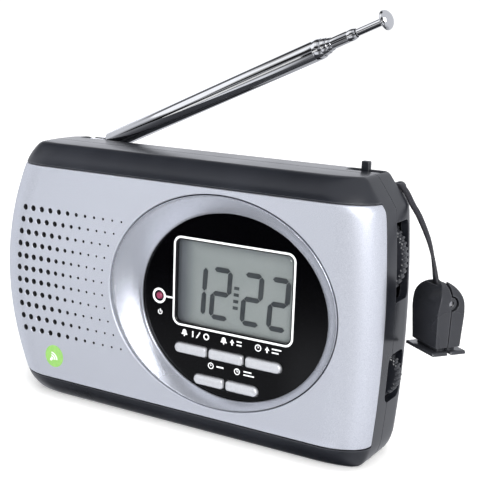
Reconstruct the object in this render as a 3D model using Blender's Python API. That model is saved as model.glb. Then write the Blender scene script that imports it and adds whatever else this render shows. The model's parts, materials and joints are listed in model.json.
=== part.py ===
"""Pocket emergency radio with a clock display, whip antenna and a clip on a short strap.

Frame: origin at the middle of the bottom resting face, +X to the right, +Y to the back, +Z up.
Lengths are written in millimetres and multiplied by MM when a mesh is made, so the scene is in
metres.
"""

import math

import bmesh
import bpy
from mathutils import Matrix, Vector

for old in list(bpy.data.objects):
    bpy.data.objects.remove(old, do_unlink=True)

MM = 0.001
X_AXIS, Y_AXIS, Z_AXIS = (1, 0, 0), (0, 1, 0), (0, 0, 1)

# ---------------------------------------------------------------- driving dimensions (mm)
BODY_H = 75.0            # height of the case
BODY_D = 30.0            # depth, front panel face to rear face
MID_Z = BODY_H / 2
FRONT_Y, REAR_Y = -BODY_D / 2, BODY_D / 2
WALL = 1.6
GAP = 0.3                # clearance between fitted pieces
SEAM_Y = -1.2            # parting line between front and rear case
CASE_FRONT_END_Y = SEAM_Y - GAP / 2
CASE_REAR_START_Y = SEAM_Y + GAP / 2

PANEL_HALF_W = 60.7      # silver panel, centre plane to the end at mid height
PANEL_Z0, PANEL_Z1 = 6.4, 68.7
PANEL_T = 1.3
PANEL_HALF_H = (PANEL_Z1 - PANEL_Z0) / 2
BOW_LEFT, BOW_RIGHT = 7.1, 1.6        # how far the ends curve in towards top and bottom
END_RX, END_RY = 11.8, 7.6            # elliptical roll of the panel's ends
END_Y = FRONT_Y + END_RY              # where the panel ends on the side
BULGE_LEFT, BULGE_RIGHT = 1.2, 0.15   # the case stands proud of the panel on each side
CASE_FACE_INNER_Y = -12.0             # inner face of the case's front wall

# Ovals on the front are given by centre (x, z) and radii (x, z).
RING_CENTRE, RING_RADII = (16.45, 38.24), (35.05, 29.0)        # opening in the panel
DIAL_CENTRE, DIAL_RADII = (19.6, 37.2), (28.4, 25.2)           # visible black dial
CASE_OVAL_CENTRE, CASE_OVAL_RADII = (17.7, 37.5), (32.6, 27.5)  # opening in the case
DIAL_Y0, DIAL_Y1 = -12.3, -11.1
LCD_X, LCD_Z = (0.9, 38.0), (29.6, 54.4)                       # outline round the display
WINDOW_INSET, WINDOW_CORNER = 0.9, 1.6                         # cut-out inside that outline
INDICATOR = (-3.6, 36.8)                                       # x, z

BUTTON_H = 2.8
BUTTON_INNER_CORNER = 0.7
BUTTON_ORIGIN_Y = -11.6
BUTTONS = {              # name: x0, x1, z, round left end, round right end
    "alarm_on_off_button": (2.0, 12.1, 23.4, True, False),
    "alarm_set_button": (12.9, 23.5, 23.4, False, False),
    "time_set_button": (24.3, 35.0, 23.4, False, True),
    "hour_button": (8.4, 17.7, 15.6, True, False),
    "minute_button": (18.5, 28.3, 15.6, False, True),
}

GRILLE_ROWS = 11
GRILLE_TOP_Z, GRILLE_PITCH = 56.2, 3.626
# hole radii by column, left to right
GRILLE_RADII = (0.82, 0.80, 0.78, 0.75, 0.72, 0.62, 0.52, 0.43, 0.37, 0.33, 0.30, 0.28)
SPEAKER_CENTRE, SPEAKER_R = (-36.0, 38.0), 15.5

TUNING_CENTRE, TUNING_R = (48.8, 53.3), 12.6
VOLUME_CENTRE, VOLUME_R = (54.8, 23.0), 6.9
WHEEL_Y0, WHEEL_Y1 = 1.5, 4.5
SLOT_X = (57.0, 70.0)                 # thumbwheel slots run out through the right side
TUNING_SLOT_Z, VOLUME_SLOT_Z = (43.1, 63.5), (16.5, 29.6)
SHAFT_R, WHEEL_BORE_R = 1.95, 2.03

LEVER_X, LEVER_Y = 48.5, (2.7, 4.4)   # band switch lever: centre x, y span
JACK_Y, JACK_Z, JACK_R = 3.0, 46.0, 2.75
JACK_BODY_HALF = 3.2

GROOVE_Y, GROOVE_Z, GROOVE_X0 = 6.1, 68.7, -46.5   # step along the upper rear edge
ANT_PIVOT = Vector((-42.0, 10.3, 72.2))
ANT_RAISE = math.radians(24.0)
ANT_HOLE_R, ANT_PIN_R = 1.03, 0.95
ANT_TUBES = (            # outer radius, inner radius, start, end along the antenna
    (2.8, 2.45, 4.8, 80.5),
    (2.35, 2.05, 10.0, 82.0),
    (1.95, 1.65, 11.5, 83.2),
    (1.55, 1.2, 18.5, 90.5),
)

CELL_R, CELL_Y = 7.0, 6.3
BATTERIES = (            # z, direction of the positive end, cell start x, spring start x
    (11.6, 1, -37.0, -41.6),
    (26.6, -1, 8.4, 13.0),
)
TRAY_X, TRAY_Z, TRAY_WALL = (-43.0, 14.5), (4.0, 34.2), 1.2
DOOR_HINGE = (0, 14.3, 5.0)

SCREWS = ((-49.0, 10.0), (50.0, 8.5), (-50.0, 58.0), (33.0, 64.5))   # x, z
BOSS_R = 3.0

STRAP_PIN = Vector((54.6, 8.6, 70.3))
STRAP_W, STRAP_T = 2.3, 0.9
STRAP_PATH = (           # x, y, z down the middle of the strap
    (55.5, 8.6, 71.4), (56.6, 8.5, 71.1), (58.1, 8.4, 69.5), (59.8, 8.2, 66.9),
    (62.0, 7.8, 64.1), (64.9, 7.0, 59.3), (66.6, 6.3, 55.5), (67.7, 5.7, 52.0),
    (68.5, 5.2, 49.1), (69.4, 5.0, 46.0),
)
LINK_PIN_R = 0.8         # pins of strap and clip

CLIP_CENTRE = Vector((69.7, 5.0, 44.5))   # centre of the clip's pin
CLIP_TURN = math.radians(-36.0)
CLIP_AXIS = Vector((math.cos(CLIP_TURN), math.sin(CLIP_TURN), 0))
CLIP_HALF_W, CLIP_HALF_T = 6.0, 3.9
CLIP_TOP, CLIP_LOW = 4.9, -11.3           # heights from the pin
CLIP_WALL = 1.1
CLIP_SLOT = (-2.9, 1.7)                   # opening in the top for the strap, x from the centre


# ---------------------------------------------------------------- materials
SHARP_ANGLE = math.radians(35)
FINISHES = {             # name: base colour, roughness, metallic
    "silver": ((0.62, 0.65, 0.72), 0.35, 0.5),
    "black": ((0.035, 0.036, 0.042), 0.5, 0.0),
    "gloss_black": ((0.008, 0.008, 0.01), 0.12, 0.0),
    "clear": ((0.8, 0.85, 0.85), 0.05, 0.0),
    "lcd": ((0.42, 0.46, 0.42), 0.3, 0.0),
    "red": ((0.6, 0.02, 0.03), 0.25, 0.0),
    "white": ((0.75, 0.75, 0.78), 0.35, 0.0),
    "board": ((0.02, 0.18, 0.08), 0.5, 0.0),
    "steel": ((0.6, 0.6, 0.62), 0.3, 1.0),
    "chrome": ((0.85, 0.85, 0.87), 0.08, 1.0),
    "copper": ((0.7, 0.33, 0.15), 0.35, 1.0),
    "ferrite": ((0.05, 0.05, 0.055), 0.7, 0.0),
    "paper": ((0.12, 0.11, 0.1), 0.9, 0.0),
    "rubber": ((0.3, 0.3, 0.32), 0.8, 0.0),
    "cell": ((0.05, 0.25, 0.12), 0.35, 0.2),
}


def make_material(name, finish_name):
    colour, roughness, metallic = FINISHES[finish_name]
    material = bpy.data.materials.new(name)
    material.use_nodes = True
    inputs = material.node_tree.nodes["Principled BSDF"].inputs
    inputs["Base Color"].default_value = (*colour, 1.0)
    inputs["Roughness"].default_value = roughness
    inputs["Metallic"].default_value = metallic
    return material


ROOT = bpy.data.objects.new("emergency_radio", None)
bpy.context.scene.collection.objects.link(ROOT)


def finish(piece, finish_name, origin=None):
    """Give a piece its own material, its shading and an origin on its joint's axis."""
    piece.data.materials.clear()
    piece.data.materials.append(make_material(piece.name, finish_name))
    if origin is not None:
        offset = Vector(origin) * MM
        piece.data.transform(Matrix.Translation(-offset))
        piece.location = offset
    piece.data.shade_smooth()
    piece.data.set_sharp_from_angle(angle=SHARP_ANGLE)
    piece.parent = ROOT


# ---------------------------------------------------------------- modelling helpers
def solid(name, verts, faces):
    """A closed mesh object from points in millimetres, with its faces pointing out."""
    mesh = bpy.data.meshes.new(name)
    mesh.from_pydata([tuple(c * MM for c in v) for v in verts], [], faces)
    bm = bmesh.new()
    bm.from_mesh(mesh)
    bmesh.ops.remove_doubles(bm, verts=bm.verts, dist=1e-7)
    bmesh.ops.recalc_face_normals(bm, faces=bm.faces)
    if bm.calc_volume(signed=True) < 0:
        bmesh.ops.reverse_faces(bm, faces=bm.faces)
    bm.to_mesh(mesh)
    bm.free()
    piece = bpy.data.objects.new(name, mesh)
    bpy.context.scene.collection.objects.link(piece)
    return piece


def combine(piece, tool, operation):
    """Boolean of two solids, applied; the tool is used up."""
    tool.hide_render = True
    modifier = piece.modifiers.new("cut", "BOOLEAN")
    modifier.operation = operation
    modifier.solver = "EXACT"
    modifier.object = tool
    depsgraph = bpy.context.evaluated_depsgraph_get()
    mesh = bpy.data.meshes.new_from_object(piece.evaluated_get(depsgraph))
    piece.modifiers.remove(modifier)
    piece.data = mesh
    bpy.data.objects.remove(tool, do_unlink=True)
    return piece


def cut(piece, *tools):
    for tool in tools:
        combine(piece, tool, "DIFFERENCE")
    return piece


def fuse(piece, *tools):
    for tool in tools:
        combine(piece, tool, "UNION")
    return piece


def tidy(piece):
    """Weld the seams a Boolean leaves and dissolve its degenerate edges."""
    bm = bmesh.new()
    bm.from_mesh(piece.data)
    bmesh.ops.remove_doubles(bm, verts=bm.verts, dist=2e-6)
    bmesh.ops.dissolve_degenerate(bm, edges=bm.edges, dist=2e-6)
    bm.to_mesh(piece.data)
    bm.free()
    return piece


def box(name, x, y, z):
    verts = [(a, b, c) for c in z for b in y for a in x]
    faces = [(0, 1, 3, 2), (4, 5, 7, 6), (0, 1, 5, 4), (2, 3, 7, 6), (0, 2, 6, 4), (1, 3, 7, 5)]
    return solid(name, verts, faces)


def loft(name, rings):
    """Skin closed rings of equal length and cap both ends."""
    n = len(rings[0])
    last = (len(rings) - 1) * n
    verts = [p for ring in rings for p in ring]
    faces = []
    for k in range(len(rings) - 1):
        for i in range(n):
            j = (i + 1) % n
            faces.append((k * n + i, k * n + j, (k + 1) * n + j, (k + 1) * n + i))
    faces.append(tuple(range(n)))
    faces.append(tuple(last + i for i in range(n)))
    return solid(name, verts, faces)


def basis(axis):
    """Two directions square to the axis, and the axis itself, all of unit length."""
    along = Vector(axis).normalized()
    helper = Vector(Z_AXIS) if abs(along.z) < 0.9 else Vector(X_AXIS)
    first = along.cross(helper).normalized()
    return first, along.cross(first), along


def lathe(name, profile, at, axis, segments=24, closed=False):
    """Turn (radius, height) points about an axis; a closed profile makes a ring."""
    first, second, along = basis(axis)
    at = Vector(at)
    verts, rows = [], []
    for radius, h in profile:
        if radius < 1e-6:
            rows.append([len(verts)] * segments)
            verts.append(at + along * h)
            continue
        rows.append([len(verts) + i for i in range(segments)])
        for i in range(segments):
            a = 2 * math.pi * i / segments
            verts.append(at + first * (radius * math.cos(a))
                         + second * (radius * math.sin(a)) + along * h)
    pairs = list(zip(rows, rows[1:]))
    if closed:
        pairs.append((rows[-1], rows[0]))
    faces = []
    for low, high in pairs:
        for i in range(segments):
            j = (i + 1) % segments
            # corners that meet on the axis are listed once
            face = tuple(dict.fromkeys((low[i], low[j], high[j], high[i])))
            if len(face) > 2:
                faces.append(face)
    return solid(name, verts, faces)


def rod(name, at, axis, radius, h0, h1, segments=24):
    return lathe(name, [(0, h0), (radius, h0), (radius, h1), (0, h1)], at, axis, segments)


def rod_y(name, centre, radius, y0, y1, segments=24):
    """Rod along the depth, centred at (x, z)."""
    return rod(name, (centre[0], 0, centre[1]), Y_AXIS, radius, y0, y1, segments)


def pipe(name, at, axis, outer, inner, h0, h1, segments=24):
    profile = [(inner, h0), (outer, h0), (outer, h1), (inner, h1)]
    return lathe(name, profile, at, axis, segments, closed=True)


def prism(name, outline, y0, y1):
    """Extrude an outline of (x, z) points through the depth."""
    return loft(name, [[(x, y, z) for x, z in outline] for y in (y0, y1)])


def prism_x(name, outline, x0, x1):
    """Extrude an outline of (y, z) points from left to right."""
    return loft(name, [[(x, y, z) for y, z in outline] for x in (x0, x1)])


def oval(centre, radii, n, grow=0.0):
    angles = [2 * math.pi * i / n for i in range(n)]
    return [(centre[0] + (radii[0] + grow) * math.cos(a),
             centre[1] + (radii[1] + grow) * math.sin(a)) for a in angles]


def rounded_rect(x0, x1, z0, z1, radius, n=4):
    corners = ((x1 - radius, z1 - radius, 0), (x0 + radius, z1 - radius, 90),
               (x0 + radius, z0 + radius, 180), (x1 - radius, z0 + radius, 270))
    points = []
    for x, z, start in corners:
        for i in range(n + 1):
            a = math.radians(start + 90 * i / n)
            points.append((x + radius * math.cos(a), z + radius * math.sin(a)))
    return points


def sweep(name, path, section_at, across_at):
    """Carry a flat section of (a, b) offsets along a path.

    Both functions take the index of a path point; `across_at` gives the direction of b.
    """
    rings = []
    for k, point in enumerate(path):
        tangent = (path[min(k + 1, len(path) - 1)] - path[max(k - 1, 0)]).normalized()
        across = across_at(k)
        across = (across - tangent * across.dot(tangent)).normalized()
        normal = across.cross(tangent)
        rings.append([tuple(point + normal * a + across * b) for a, b in section_at(k)])
    return loft(name, rings)


def coil(name, at, axis, radii, length, turns, wire):
    """Spring whose coil radius runs from the first to the second of `radii`."""
    first, second, along = basis(axis)
    steps = int(turns * 10)
    path = []
    for i in range(steps + 1):
        s = i / steps
        a = 2 * math.pi * turns * s
        radius = radii[0] + (radii[1] - radii[0]) * s
        path.append(Vector(at) + first * (radius * math.cos(a))
                    + second * (radius * math.sin(a)) + along * (length * s))
    quarters = [math.pi / 2 * k for k in range(4)]
    section = [(wire * math.cos(a), wire * math.sin(a)) for a in quarters]
    return sweep(name, path, lambda k: section, lambda k: along)


def smooth_path(points, n):
    """Catmull-Rom curve through the given points, n steps to a span."""
    knots = [Vector(p) for p in points]
    knots = [knots[0] * 2 - knots[1]] + knots + [knots[-1] * 2 - knots[-2]]
    path = []
    for k in range(1, len(knots) - 2):
        a, b, c, d = knots[k - 1:k + 3]
        for i in range(n):
            t = i / n
            path.append(0.5 * ((2 * b) + (c - a) * t + (2 * a - 5 * b + 4 * c - d) * t * t
                               + (3 * b - a - 3 * c + d) * t ** 3))
    path.append(knots[-2])
    return path


# ---------------------------------------------------------------- the body's shape
# In these functions `side` is +1 for the right end and -1 for the left.
OUTER_Z = (0.7, 1.8, 3.8, 6.1, 11, 17, 25, 37.5, 50, 58, 64, 67.0, 69.0, 71.2, 73.2, 74.3)
CAVITY_Z = (3.5, 6.1, 12, 22, 37.5, 53, 63, 67.0, 69.0, 71.5)
PANEL_LEVELS_Z = (11, 17, 25, 37.5, 50, 58, 64, 67.0)
# flank behind the panel's end: y, share of the way from panel end to case side
FLANK = ((-5.0, 0.5), (-2.0, 0.9), (1.5, 1.0), (5.0, 1.0))
REAR_CURVE_Y = 5.0       # the sides start rounding to the rear face here
REAR_CURVE_RX = 9.0


def edge_x(z, side):
    """Where the panel's end lies at height z; both ends bow outwards at mid height."""
    t = (z - MID_Z) / PANEL_HALF_H
    return PANEL_HALF_W - (BOW_RIGHT if side > 0 else BOW_LEFT) * t * t


def edge_rounding(z, depth, height):
    """Inset at height z of an elliptical rounding along the top and bottom edges."""
    u = (abs(z - MID_Z) - (MID_Z - height)) / height
    return 0.0 if u <= 0 else depth * (1 - math.sqrt(max(0.0, 1 - u * u)))


def corner(z, side):
    """How far the ends draw in at top and bottom; the upper right is a chamfer."""
    if side > 0 and z > MID_Z:
        return max(0.0, 0.6 * (z - 67.0))
    depth, height = (3.5, 6.5) if side > 0 else (2.0, 5.0)
    return edge_rounding(z, depth, height)


def front_y(z):
    """The case leans back above and below the silver panel."""
    top, low = PANEL_Z1 + GAP, PANEL_Z0 - GAP
    u = 0.0
    if z > top:
        u = (z - top) / (BODY_H - top)
    elif z < low:
        u = (low - z) / low
    return FRONT_Y + 0.2 + 4.4 * u ** 1.6


def rear_y(z):
    return REAR_Y - edge_rounding(z, 3.5, 3.5)


def end_roll(half_w, inset, face_y):
    """Quarter ellipse of a rolled end as (x, y), from its side round to its face."""
    rx = END_RX - inset
    angles = [math.radians(15 * i) for i in range(7)]
    return [(half_w - rx + rx * math.cos(a), END_Y - (END_Y - face_y) * math.sin(a))
            for a in angles]


def plan(z, face_y, end_inset, side_inset, rear_inset):
    """Closed plan outline of the body at height z, inset from the outer surface."""
    points = []
    for side in (1, -1):
        base = edge_x(z, side) - corner(z, side)
        end_x = base - end_inset
        side_x = base + (BULGE_RIGHT if side > 0 else BULGE_LEFT) - side_inset
        half = end_roll(end_x, end_inset, face_y)[::-1]
        half += [(end_x + (side_x - end_x) * share, y) for y, share in FLANK]
        rx = REAR_CURVE_RX - rear_inset / 2
        ry = rear_y(z) - rear_inset - REAR_CURVE_Y
        for i in range(1, 7):
            a = math.radians(15 * i)
            half.append((side_x - rx + rx * math.cos(a), REAR_CURVE_Y + ry * math.sin(a)))
        points += [(side * x, y, z) for x, y in (half if side > 0 else half[::-1])]
    return points


def levels(z0, z1, middle):
    return [z0] + [z for z in middle if z0 < z < z1] + [z1]


def body_outer(name):
    return loft(name, [plan(z, front_y(z), 0, 0, 0) for z in levels(0, BODY_H, OUTER_Z)])


def body_cavity():
    """The hollow inside; it steps down under the antenna groove."""
    rings = [plan(z, max(front_y(z) + WALL, CASE_FACE_INNER_Y), 3.0, 2.0, WALL)
             for z in levels(WALL, BODY_H - WALL, CAVITY_Z)]
    step = box("step", (-80, 80), (GROOVE_Y - WALL, 20), (GROOVE_Z - WALL, 90))
    return cut(loft("hollow", rings), step)


def panel_strip(name, z0, z1, out, thick, tail):
    """The wrapped front panel as a curved strip.

    `out` pushes its face outwards and `tail` lengthens its ends to the back.
    """
    def skin(z, inset):
        points = []
        for side in (-1, 1):
            half_w = edge_x(z, side) - (corner(z, side) if z > MID_Z else 0.0) - inset
            arc = [(side * x, y, z) for x, y in end_roll(half_w, inset, FRONT_Y + inset)]
            if tail:
                arc.insert(0, (side * half_w, END_Y + tail, z))
            points += arc if side < 0 else arc[::-1]
        return points

    return loft(name, [skin(z, -out) + skin(z, thick)[::-1]
                       for z in levels(z0, z1, PANEL_LEVELS_Z)])


# ---------------------------------------------------------------- front panel, dial and clock
def grille_holes():
    """Holes as (x, z, radius), in rows fanned from the left end's curve to the ring's."""
    holes = []
    for row in range(GRILLE_ROWS):
        z = GRILLE_TOP_Z - GRILLE_PITCH * row
        left = -(edge_x(z, -1) - 8.7)
        rise = (z - RING_CENTRE[1]) / (RING_RADII[1] + 2.6)
        right = RING_CENTRE[0] - (RING_RADII[0] + 2.9) * math.sqrt(1 - rise * rise)
        for column, radius in enumerate(GRILLE_RADII):
            x = left + (right - left) * column / (len(GRILLE_RADII) - 1)
            holes.append((x, z, radius))
    return holes


def grille_cutter():
    """All the hexagonal grille holes as one tool."""
    verts, faces = [], []
    for x, z, radius in grille_holes():
        k = len(verts)
        for y in (FRONT_Y - 1.0, FRONT_Y + 5.0):
            for i in range(6):
                a = math.pi * i / 3 + math.pi / 6
                verts.append((x + radius * math.cos(a), y, z + radius * math.sin(a)))
        for i in range(6):
            j = (i + 1) % 6
            faces.append((k + i, k + j, k + 6 + j, k + 6 + i))
        faces.append(tuple(k + i for i in range(5, -1, -1)))
        faces.append(tuple(k + 6 + i for i in range(6)))
    return solid("grille", verts, faces)


def build_front_panel():
    panel = panel_strip("front_panel", PANEL_Z0, PANEL_Z1, out=0.0, thick=PANEL_T, tail=0.0)
    cut(panel, prism("opening", oval(RING_CENTRE, RING_RADII, 56), FRONT_Y - 2, FRONT_Y + 4))
    cut(panel, grille_cutter())
    finish(tidy(panel), "silver")


def build_dial_ring():
    """Dished bezel between the panel's oval opening and the smaller, offset dial."""
    # share of the way from the dial's edge to the opening, y
    section = ((1.0, -14.8), (0.97, FRONT_Y), (0.75, -14.75), (0.4, -14.1), (0.1, -13.3),
               (0.0, -13.0), (0.0, -12.6), (0.25, -12.6), (0.45, -13.7), (1.0, -13.7))
    n, m = 48, len(section)
    verts = []
    inner, outer = oval(DIAL_CENTRE, DIAL_RADII, n), oval(RING_CENTRE, RING_RADII, n, -GAP)
    for dial_point, ring_point in zip(inner, outer):
        for share, y in section:
            p = Vector(dial_point).lerp(Vector(ring_point), share)
            verts.append((p.x, y, p.y))
    faces = []
    for i in range(n):
        this, after = i * m, (i + 1) % n * m
        for k in range(m):
            j = (k + 1) % m
            faces.append((this + k, this + j, after + j, after + k))
    finish(solid("dial_ring", verts, faces), "silver")


def button_outline(button, grow, n=5):
    """A bar whose outer ends are round and inner ends nearly square."""
    x0, x1, z, round_left, round_right = button
    half_h = BUTTON_H / 2 + grow
    right = half_h if round_right else BUTTON_INNER_CORNER
    left = half_h if round_left else BUTTON_INNER_CORNER
    # corner radius, centre x, up or down, starting quarter turn
    corners = ((right, x1 + grow - right, -1, -1), (right, x1 + grow - right, 1, 0),
               (left, x0 - grow + left, 1, 1), (left, x0 - grow + left, -1, 2))
    points = []
    for radius, x, up, quarter in corners:
        for i in range(n):
            a = math.pi / 2 * (quarter + i / (n - 1))
            p = (x + radius * math.cos(a), z + up * (half_h - radius) + radius * math.sin(a))
            # the two corners of a round end share a point
            if not points or math.dist(p, points[-1]) > 1e-4:
                points.append(p)
    return points


def window_outline(gap):
    """Outline of the display's cut-out, drawn in by a gap."""
    inset = WINDOW_INSET + gap
    return rounded_rect(LCD_X[0] + inset, LCD_X[1] - inset, LCD_Z[0] + inset,
                        LCD_Z[1] - inset, WINDOW_CORNER - gap)


def build_dial_plate():
    through = (DIAL_Y0 - 1, DIAL_Y1 + 1)
    plate = prism("dial_plate", oval(DIAL_CENTRE, DIAL_RADII, 56, 1.0), DIAL_Y0, DIAL_Y1)
    cut(plate, prism("window", window_outline(0), *through))
    cut(plate, rod_y("indicator_hole", INDICATOR, 1.25, *through, 12))
    for button in BUTTONS.values():
        cut(plate, prism("button_hole", button_outline(button, 0.2), *through))
    finish(tidy(plate), "gloss_black")


def build_display():
    finish(prism("display_window", window_outline(GAP), DIAL_Y0, DIAL_Y1), "clear")
    finish(box("display_glass", (LCD_X[0] - 0.6, LCD_X[1] + 0.8), (-10.8, -8.9),
               (LCD_Z[0] - 0.8, LCD_Z[1] + 0.8)), "lcd")
    lamp = [(0, -12.75), (0.6, -12.6), (1.0, -12.2), (1.0, -8.9), (0, -8.9)]
    at = (INDICATOR[0], 0, INDICATOR[1])
    finish(lathe("alarm_indicator", lamp, at, Y_AXIS, 12), "red")


def build_buttons():
    """Bevelled caps with a flange behind the dial plate."""
    # growth of the outline, y
    stations = ((-0.3, -13.15), (-0.05, -12.85), (-0.05, -10.95), (0.32, -10.95), (0.32, -10.55))
    for name, button in BUTTONS.items():
        rings = [[(x, y, z) for x, z in button_outline(button, grow)] for grow, y in stations]
        x0, x1, z = button[:3]
        finish(loft(name, rings), "white", origin=((x0 + x1) / 2, BUTTON_ORIGIN_Y, z))


def build_clock_board():
    finish(box("keypad_mat", (0.8, 36.2), (-9.6, -8.9), (12.4, 26.6)), "rubber")
    board = box("clock_board", (-7.0, 41.5), (-8.6, -7.6), (13.5, 58.5))
    for centre in ((37, 18), (-3, 54)):
        cut(board, rod_y("hole", centre, 1.2, -10, -6, 10))
    finish(board, "board")


# ---------------------------------------------------------------- case
def build_case_front():
    case = body_outer("case_front")
    combine(case, box("half", (-90, 90), (-40, CASE_FRONT_END_Y), (-10, 90)), "INTERSECT")
    cut(case, body_cavity())
    cut(case, prism("dial_opening", oval(CASE_OVAL_CENTRE, CASE_OVAL_RADII, 48), -16, -10))
    cut(case, rod_y("speaker_opening", SPEAKER_CENTRE, 14.2, -16, -10, 28))
    for centre in SCREWS:
        fuse(case, rod_y("boss", centre, BOSS_R, -12.6, CASE_FRONT_END_Y, 16))
    cut(case, panel_strip("rebate", PANEL_Z0 - GAP, PANEL_Z1 + GAP,
                          out=3.0, thick=PANEL_T + GAP, tail=GAP))
    for centre in SCREWS:
        cut(case, rod_y("pilot", centre, 1.0, -9.5, 2, 12))
    cut(case, box("volume_notch", (57.5, 70), (-3.2, 2), VOLUME_SLOT_Z))
    finish(tidy(case), "black")


def strap_lug():
    """Eye for the strap's pin, standing in the groove on a short foot."""
    foot = [(53.3, 67.6), (55.5, 67.6)]
    angles = [math.radians(-50 + 28 * i) for i in range(11)]
    eye = [(STRAP_PIN.x + 1.57 * math.cos(a), STRAP_PIN.z + 1.57 * math.sin(a)) for a in angles]
    return prism("lug", foot + eye, 11.0, 12.8)


def build_case_rear():
    rear = body_outer("case_rear")
    combine(rear, box("half", (-90, 90), (CASE_REAR_START_Y, 40), (-10, 90)), "INTERSECT")
    cut(rear, body_cavity())
    fuse(rear, box("tray", (TRAY_X[0] - TRAY_WALL, TRAY_X[1] + TRAY_WALL), (-2.2, 14.0),
                   (TRAY_Z[0] - TRAY_WALL, TRAY_Z[1] + TRAY_WALL)))
    for centre in SCREWS:
        fuse(rear, rod_y("post", centre, BOSS_R, CASE_REAR_START_Y, 14.0, 16))
    cut(rear, box("battery_well", TRAY_X, (-1.2, 20), TRAY_Z))
    for centre in SCREWS:
        cut(rear, rod_y("shank", centre, 1.5, -4, 9, 12))
        cut(rear, rod_y("head", centre, 2.8, 7.5, 20, 16))
    cut(rear, box("groove", (GROOVE_X0, 80), (GROOVE_Y, 30), (GROOVE_Z, 90)))
    fuse(rear, strap_lug())
    cut(rear, rod("strap_hole", STRAP_PIN, Y_AXIS, 0.9, -4.0, 20, 12))
    cut(rear, rod("swivel_hole", (ANT_PIVOT.x, ANT_PIVOT.y, 0), Z_AXIS, 2.1, 60, 75, 24))
    for slot_z in (TUNING_SLOT_Z, VOLUME_SLOT_Z):
        cut(rear, box("wheel_slot", SLOT_X, (-4, 6.6), slot_z))
    cut(rear, box("lever_slot", (LEVER_X - 3.9, LEVER_X + 3.9),
                  (LEVER_Y[0] - GAP, LEVER_Y[1] + GAP), (70, 80)))
    cut(rear, rod("jack_hole", (0, JACK_Y, JACK_Z), X_AXIS, JACK_R + GAP, -80, -50, 16))
    finish(tidy(rear), "black")


def build_battery_door():
    """Door over the battery well, chamfered along its lower edge, with five grip grooves."""
    top = TRAY_Z[1] - GAP
    outline = [          # y, z
        (13.95, 4.3), (13.6, 4.65), (13.6, top), (14.7, top),
        (REAR_Y, TRAY_Z[1] - 0.6), (REAR_Y, 4.65), (14.65, 4.3),
    ]
    door = prism_x("battery_door", outline, TRAY_X[0] + GAP, TRAY_X[1] - GAP)
    for k in range(5):
        cut(door, box("grip", (-21.5, -7.0), (14.5, 16), (26.0 + 1.2 * k, 26.5 + 1.2 * k)))
    finish(tidy(door), "black", origin=DOOR_HINGE)


def build_case_screws():
    """Cross-slotted screws driven in from the rear."""
    profile = [(0, -8.6), (0.5, -8.0), (0.9, -7.0), (0.9, 7.8), (2.5, 7.8), (2.5, 8.8),
               (2.0, 9.5), (0, 9.5)]
    for k, (x, z) in enumerate(SCREWS):
        screw = lathe(f"case_screw_{k + 1}", profile, (x, 0, z), Y_AXIS, 14)
        for half_x, half_z in ((1.3, 0.28), (0.28, 1.3)):
            cut(screw, box("slot", (x - half_x, x + half_x), (8.7, 12), (z - half_z, z + half_z)))
        finish(tidy(screw), "steel")


# ---------------------------------------------------------------- batteries and contacts
def build_batteries():
    """Two cells, the lower pointing right and the upper left, each with a conical spring."""
    profile = [(0, 0), (6.2, 0), (CELL_R, 0.7), (CELL_R, 48.4), (6.4, 49.2), (2.7, 49.2),
               (2.7, 50.4), (0, 50.4)]
    for k, (z, direction, cell_x, spring_x) in enumerate(BATTERIES):
        axis = (direction, 0, 0)
        finish(lathe(f"battery_{k + 1}", profile, (cell_x, CELL_Y, z), axis, 18), "cell")
        spring = coil(f"battery_spring_{k + 1}", (spring_x, CELL_Y, z), axis,
                      radii=(4.6, 2.2), length=3.9, turns=3.6, wire=0.35)
        finish(spring, "steel")


def build_contacts():
    right_x = (13.8, 14.2)
    plates = {           # name: x, y, z spans
        "battery_bridge_plate": ((-42.7, -42.4), (1.8, 10.8), (6.0, 32.4)),
        "battery_plate_positive": (right_x, (2.0, 10.6), (7.0, 16.4)),
        "battery_plate_negative": (right_x, (2.0, 10.6), (21.8, 31.4)),
    }
    for name, spans in plates.items():
        finish(box(name, *spans), "steel")


# ---------------------------------------------------------------- loudspeaker
def build_speaker():
    at = (SPEAKER_CENTRE[0], 0, SPEAKER_CENTRE[1])
    basket = [(14.0, -11.7), (SPEAKER_R, -11.7), (SPEAKER_R, -10.9), (14.4, -10.7),
              (10.2, -7.4), (8.0, -6.9), (8.0, -7.6), (9.8, -8.1), (13.7, -10.8)]
    finish(lathe("speaker_basket", basket, at, Y_AXIS, closed=True), "steel")
    finish(rod_y("speaker_magnet", SPEAKER_CENTRE, 8.6, -6.6, -5.2), "ferrite")
    cone = [(0, -9.9), (4.2, -9.2), (5.2, -9.0), (11.9, -10.95), (12.6, -11.3), (13.4, -11.0),
            (13.4, -10.8), (12.6, -11.0), (11.8, -10.65), (5.4, -8.7), (5.4, -7.3), (0, -7.3)]
    finish(lathe("speaker_cone", cone, at, Y_AXIS, 20), "paper")


# ---------------------------------------------------------------- electronics
PART_Y0 = -2.9           # front of the parts on the main board


def build_main_board():
    board = box("main_board", (-51.0, 56.0), (-4.8, -3.2), (7.0, 66.0))
    for centre in SCREWS:
        cut(board, rod_y("clear", centre, BOSS_R + 0.4, -8, 0, 16))
    for x, z in (((-60, -45.6), (0, 12.5)), ((-60, -46.4), (55, 70)), ((46.4, 60), (0, 12))):
        cut(board, box("corner", x, (-8, 0), z))
    finish(tidy(board), "board")


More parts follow.
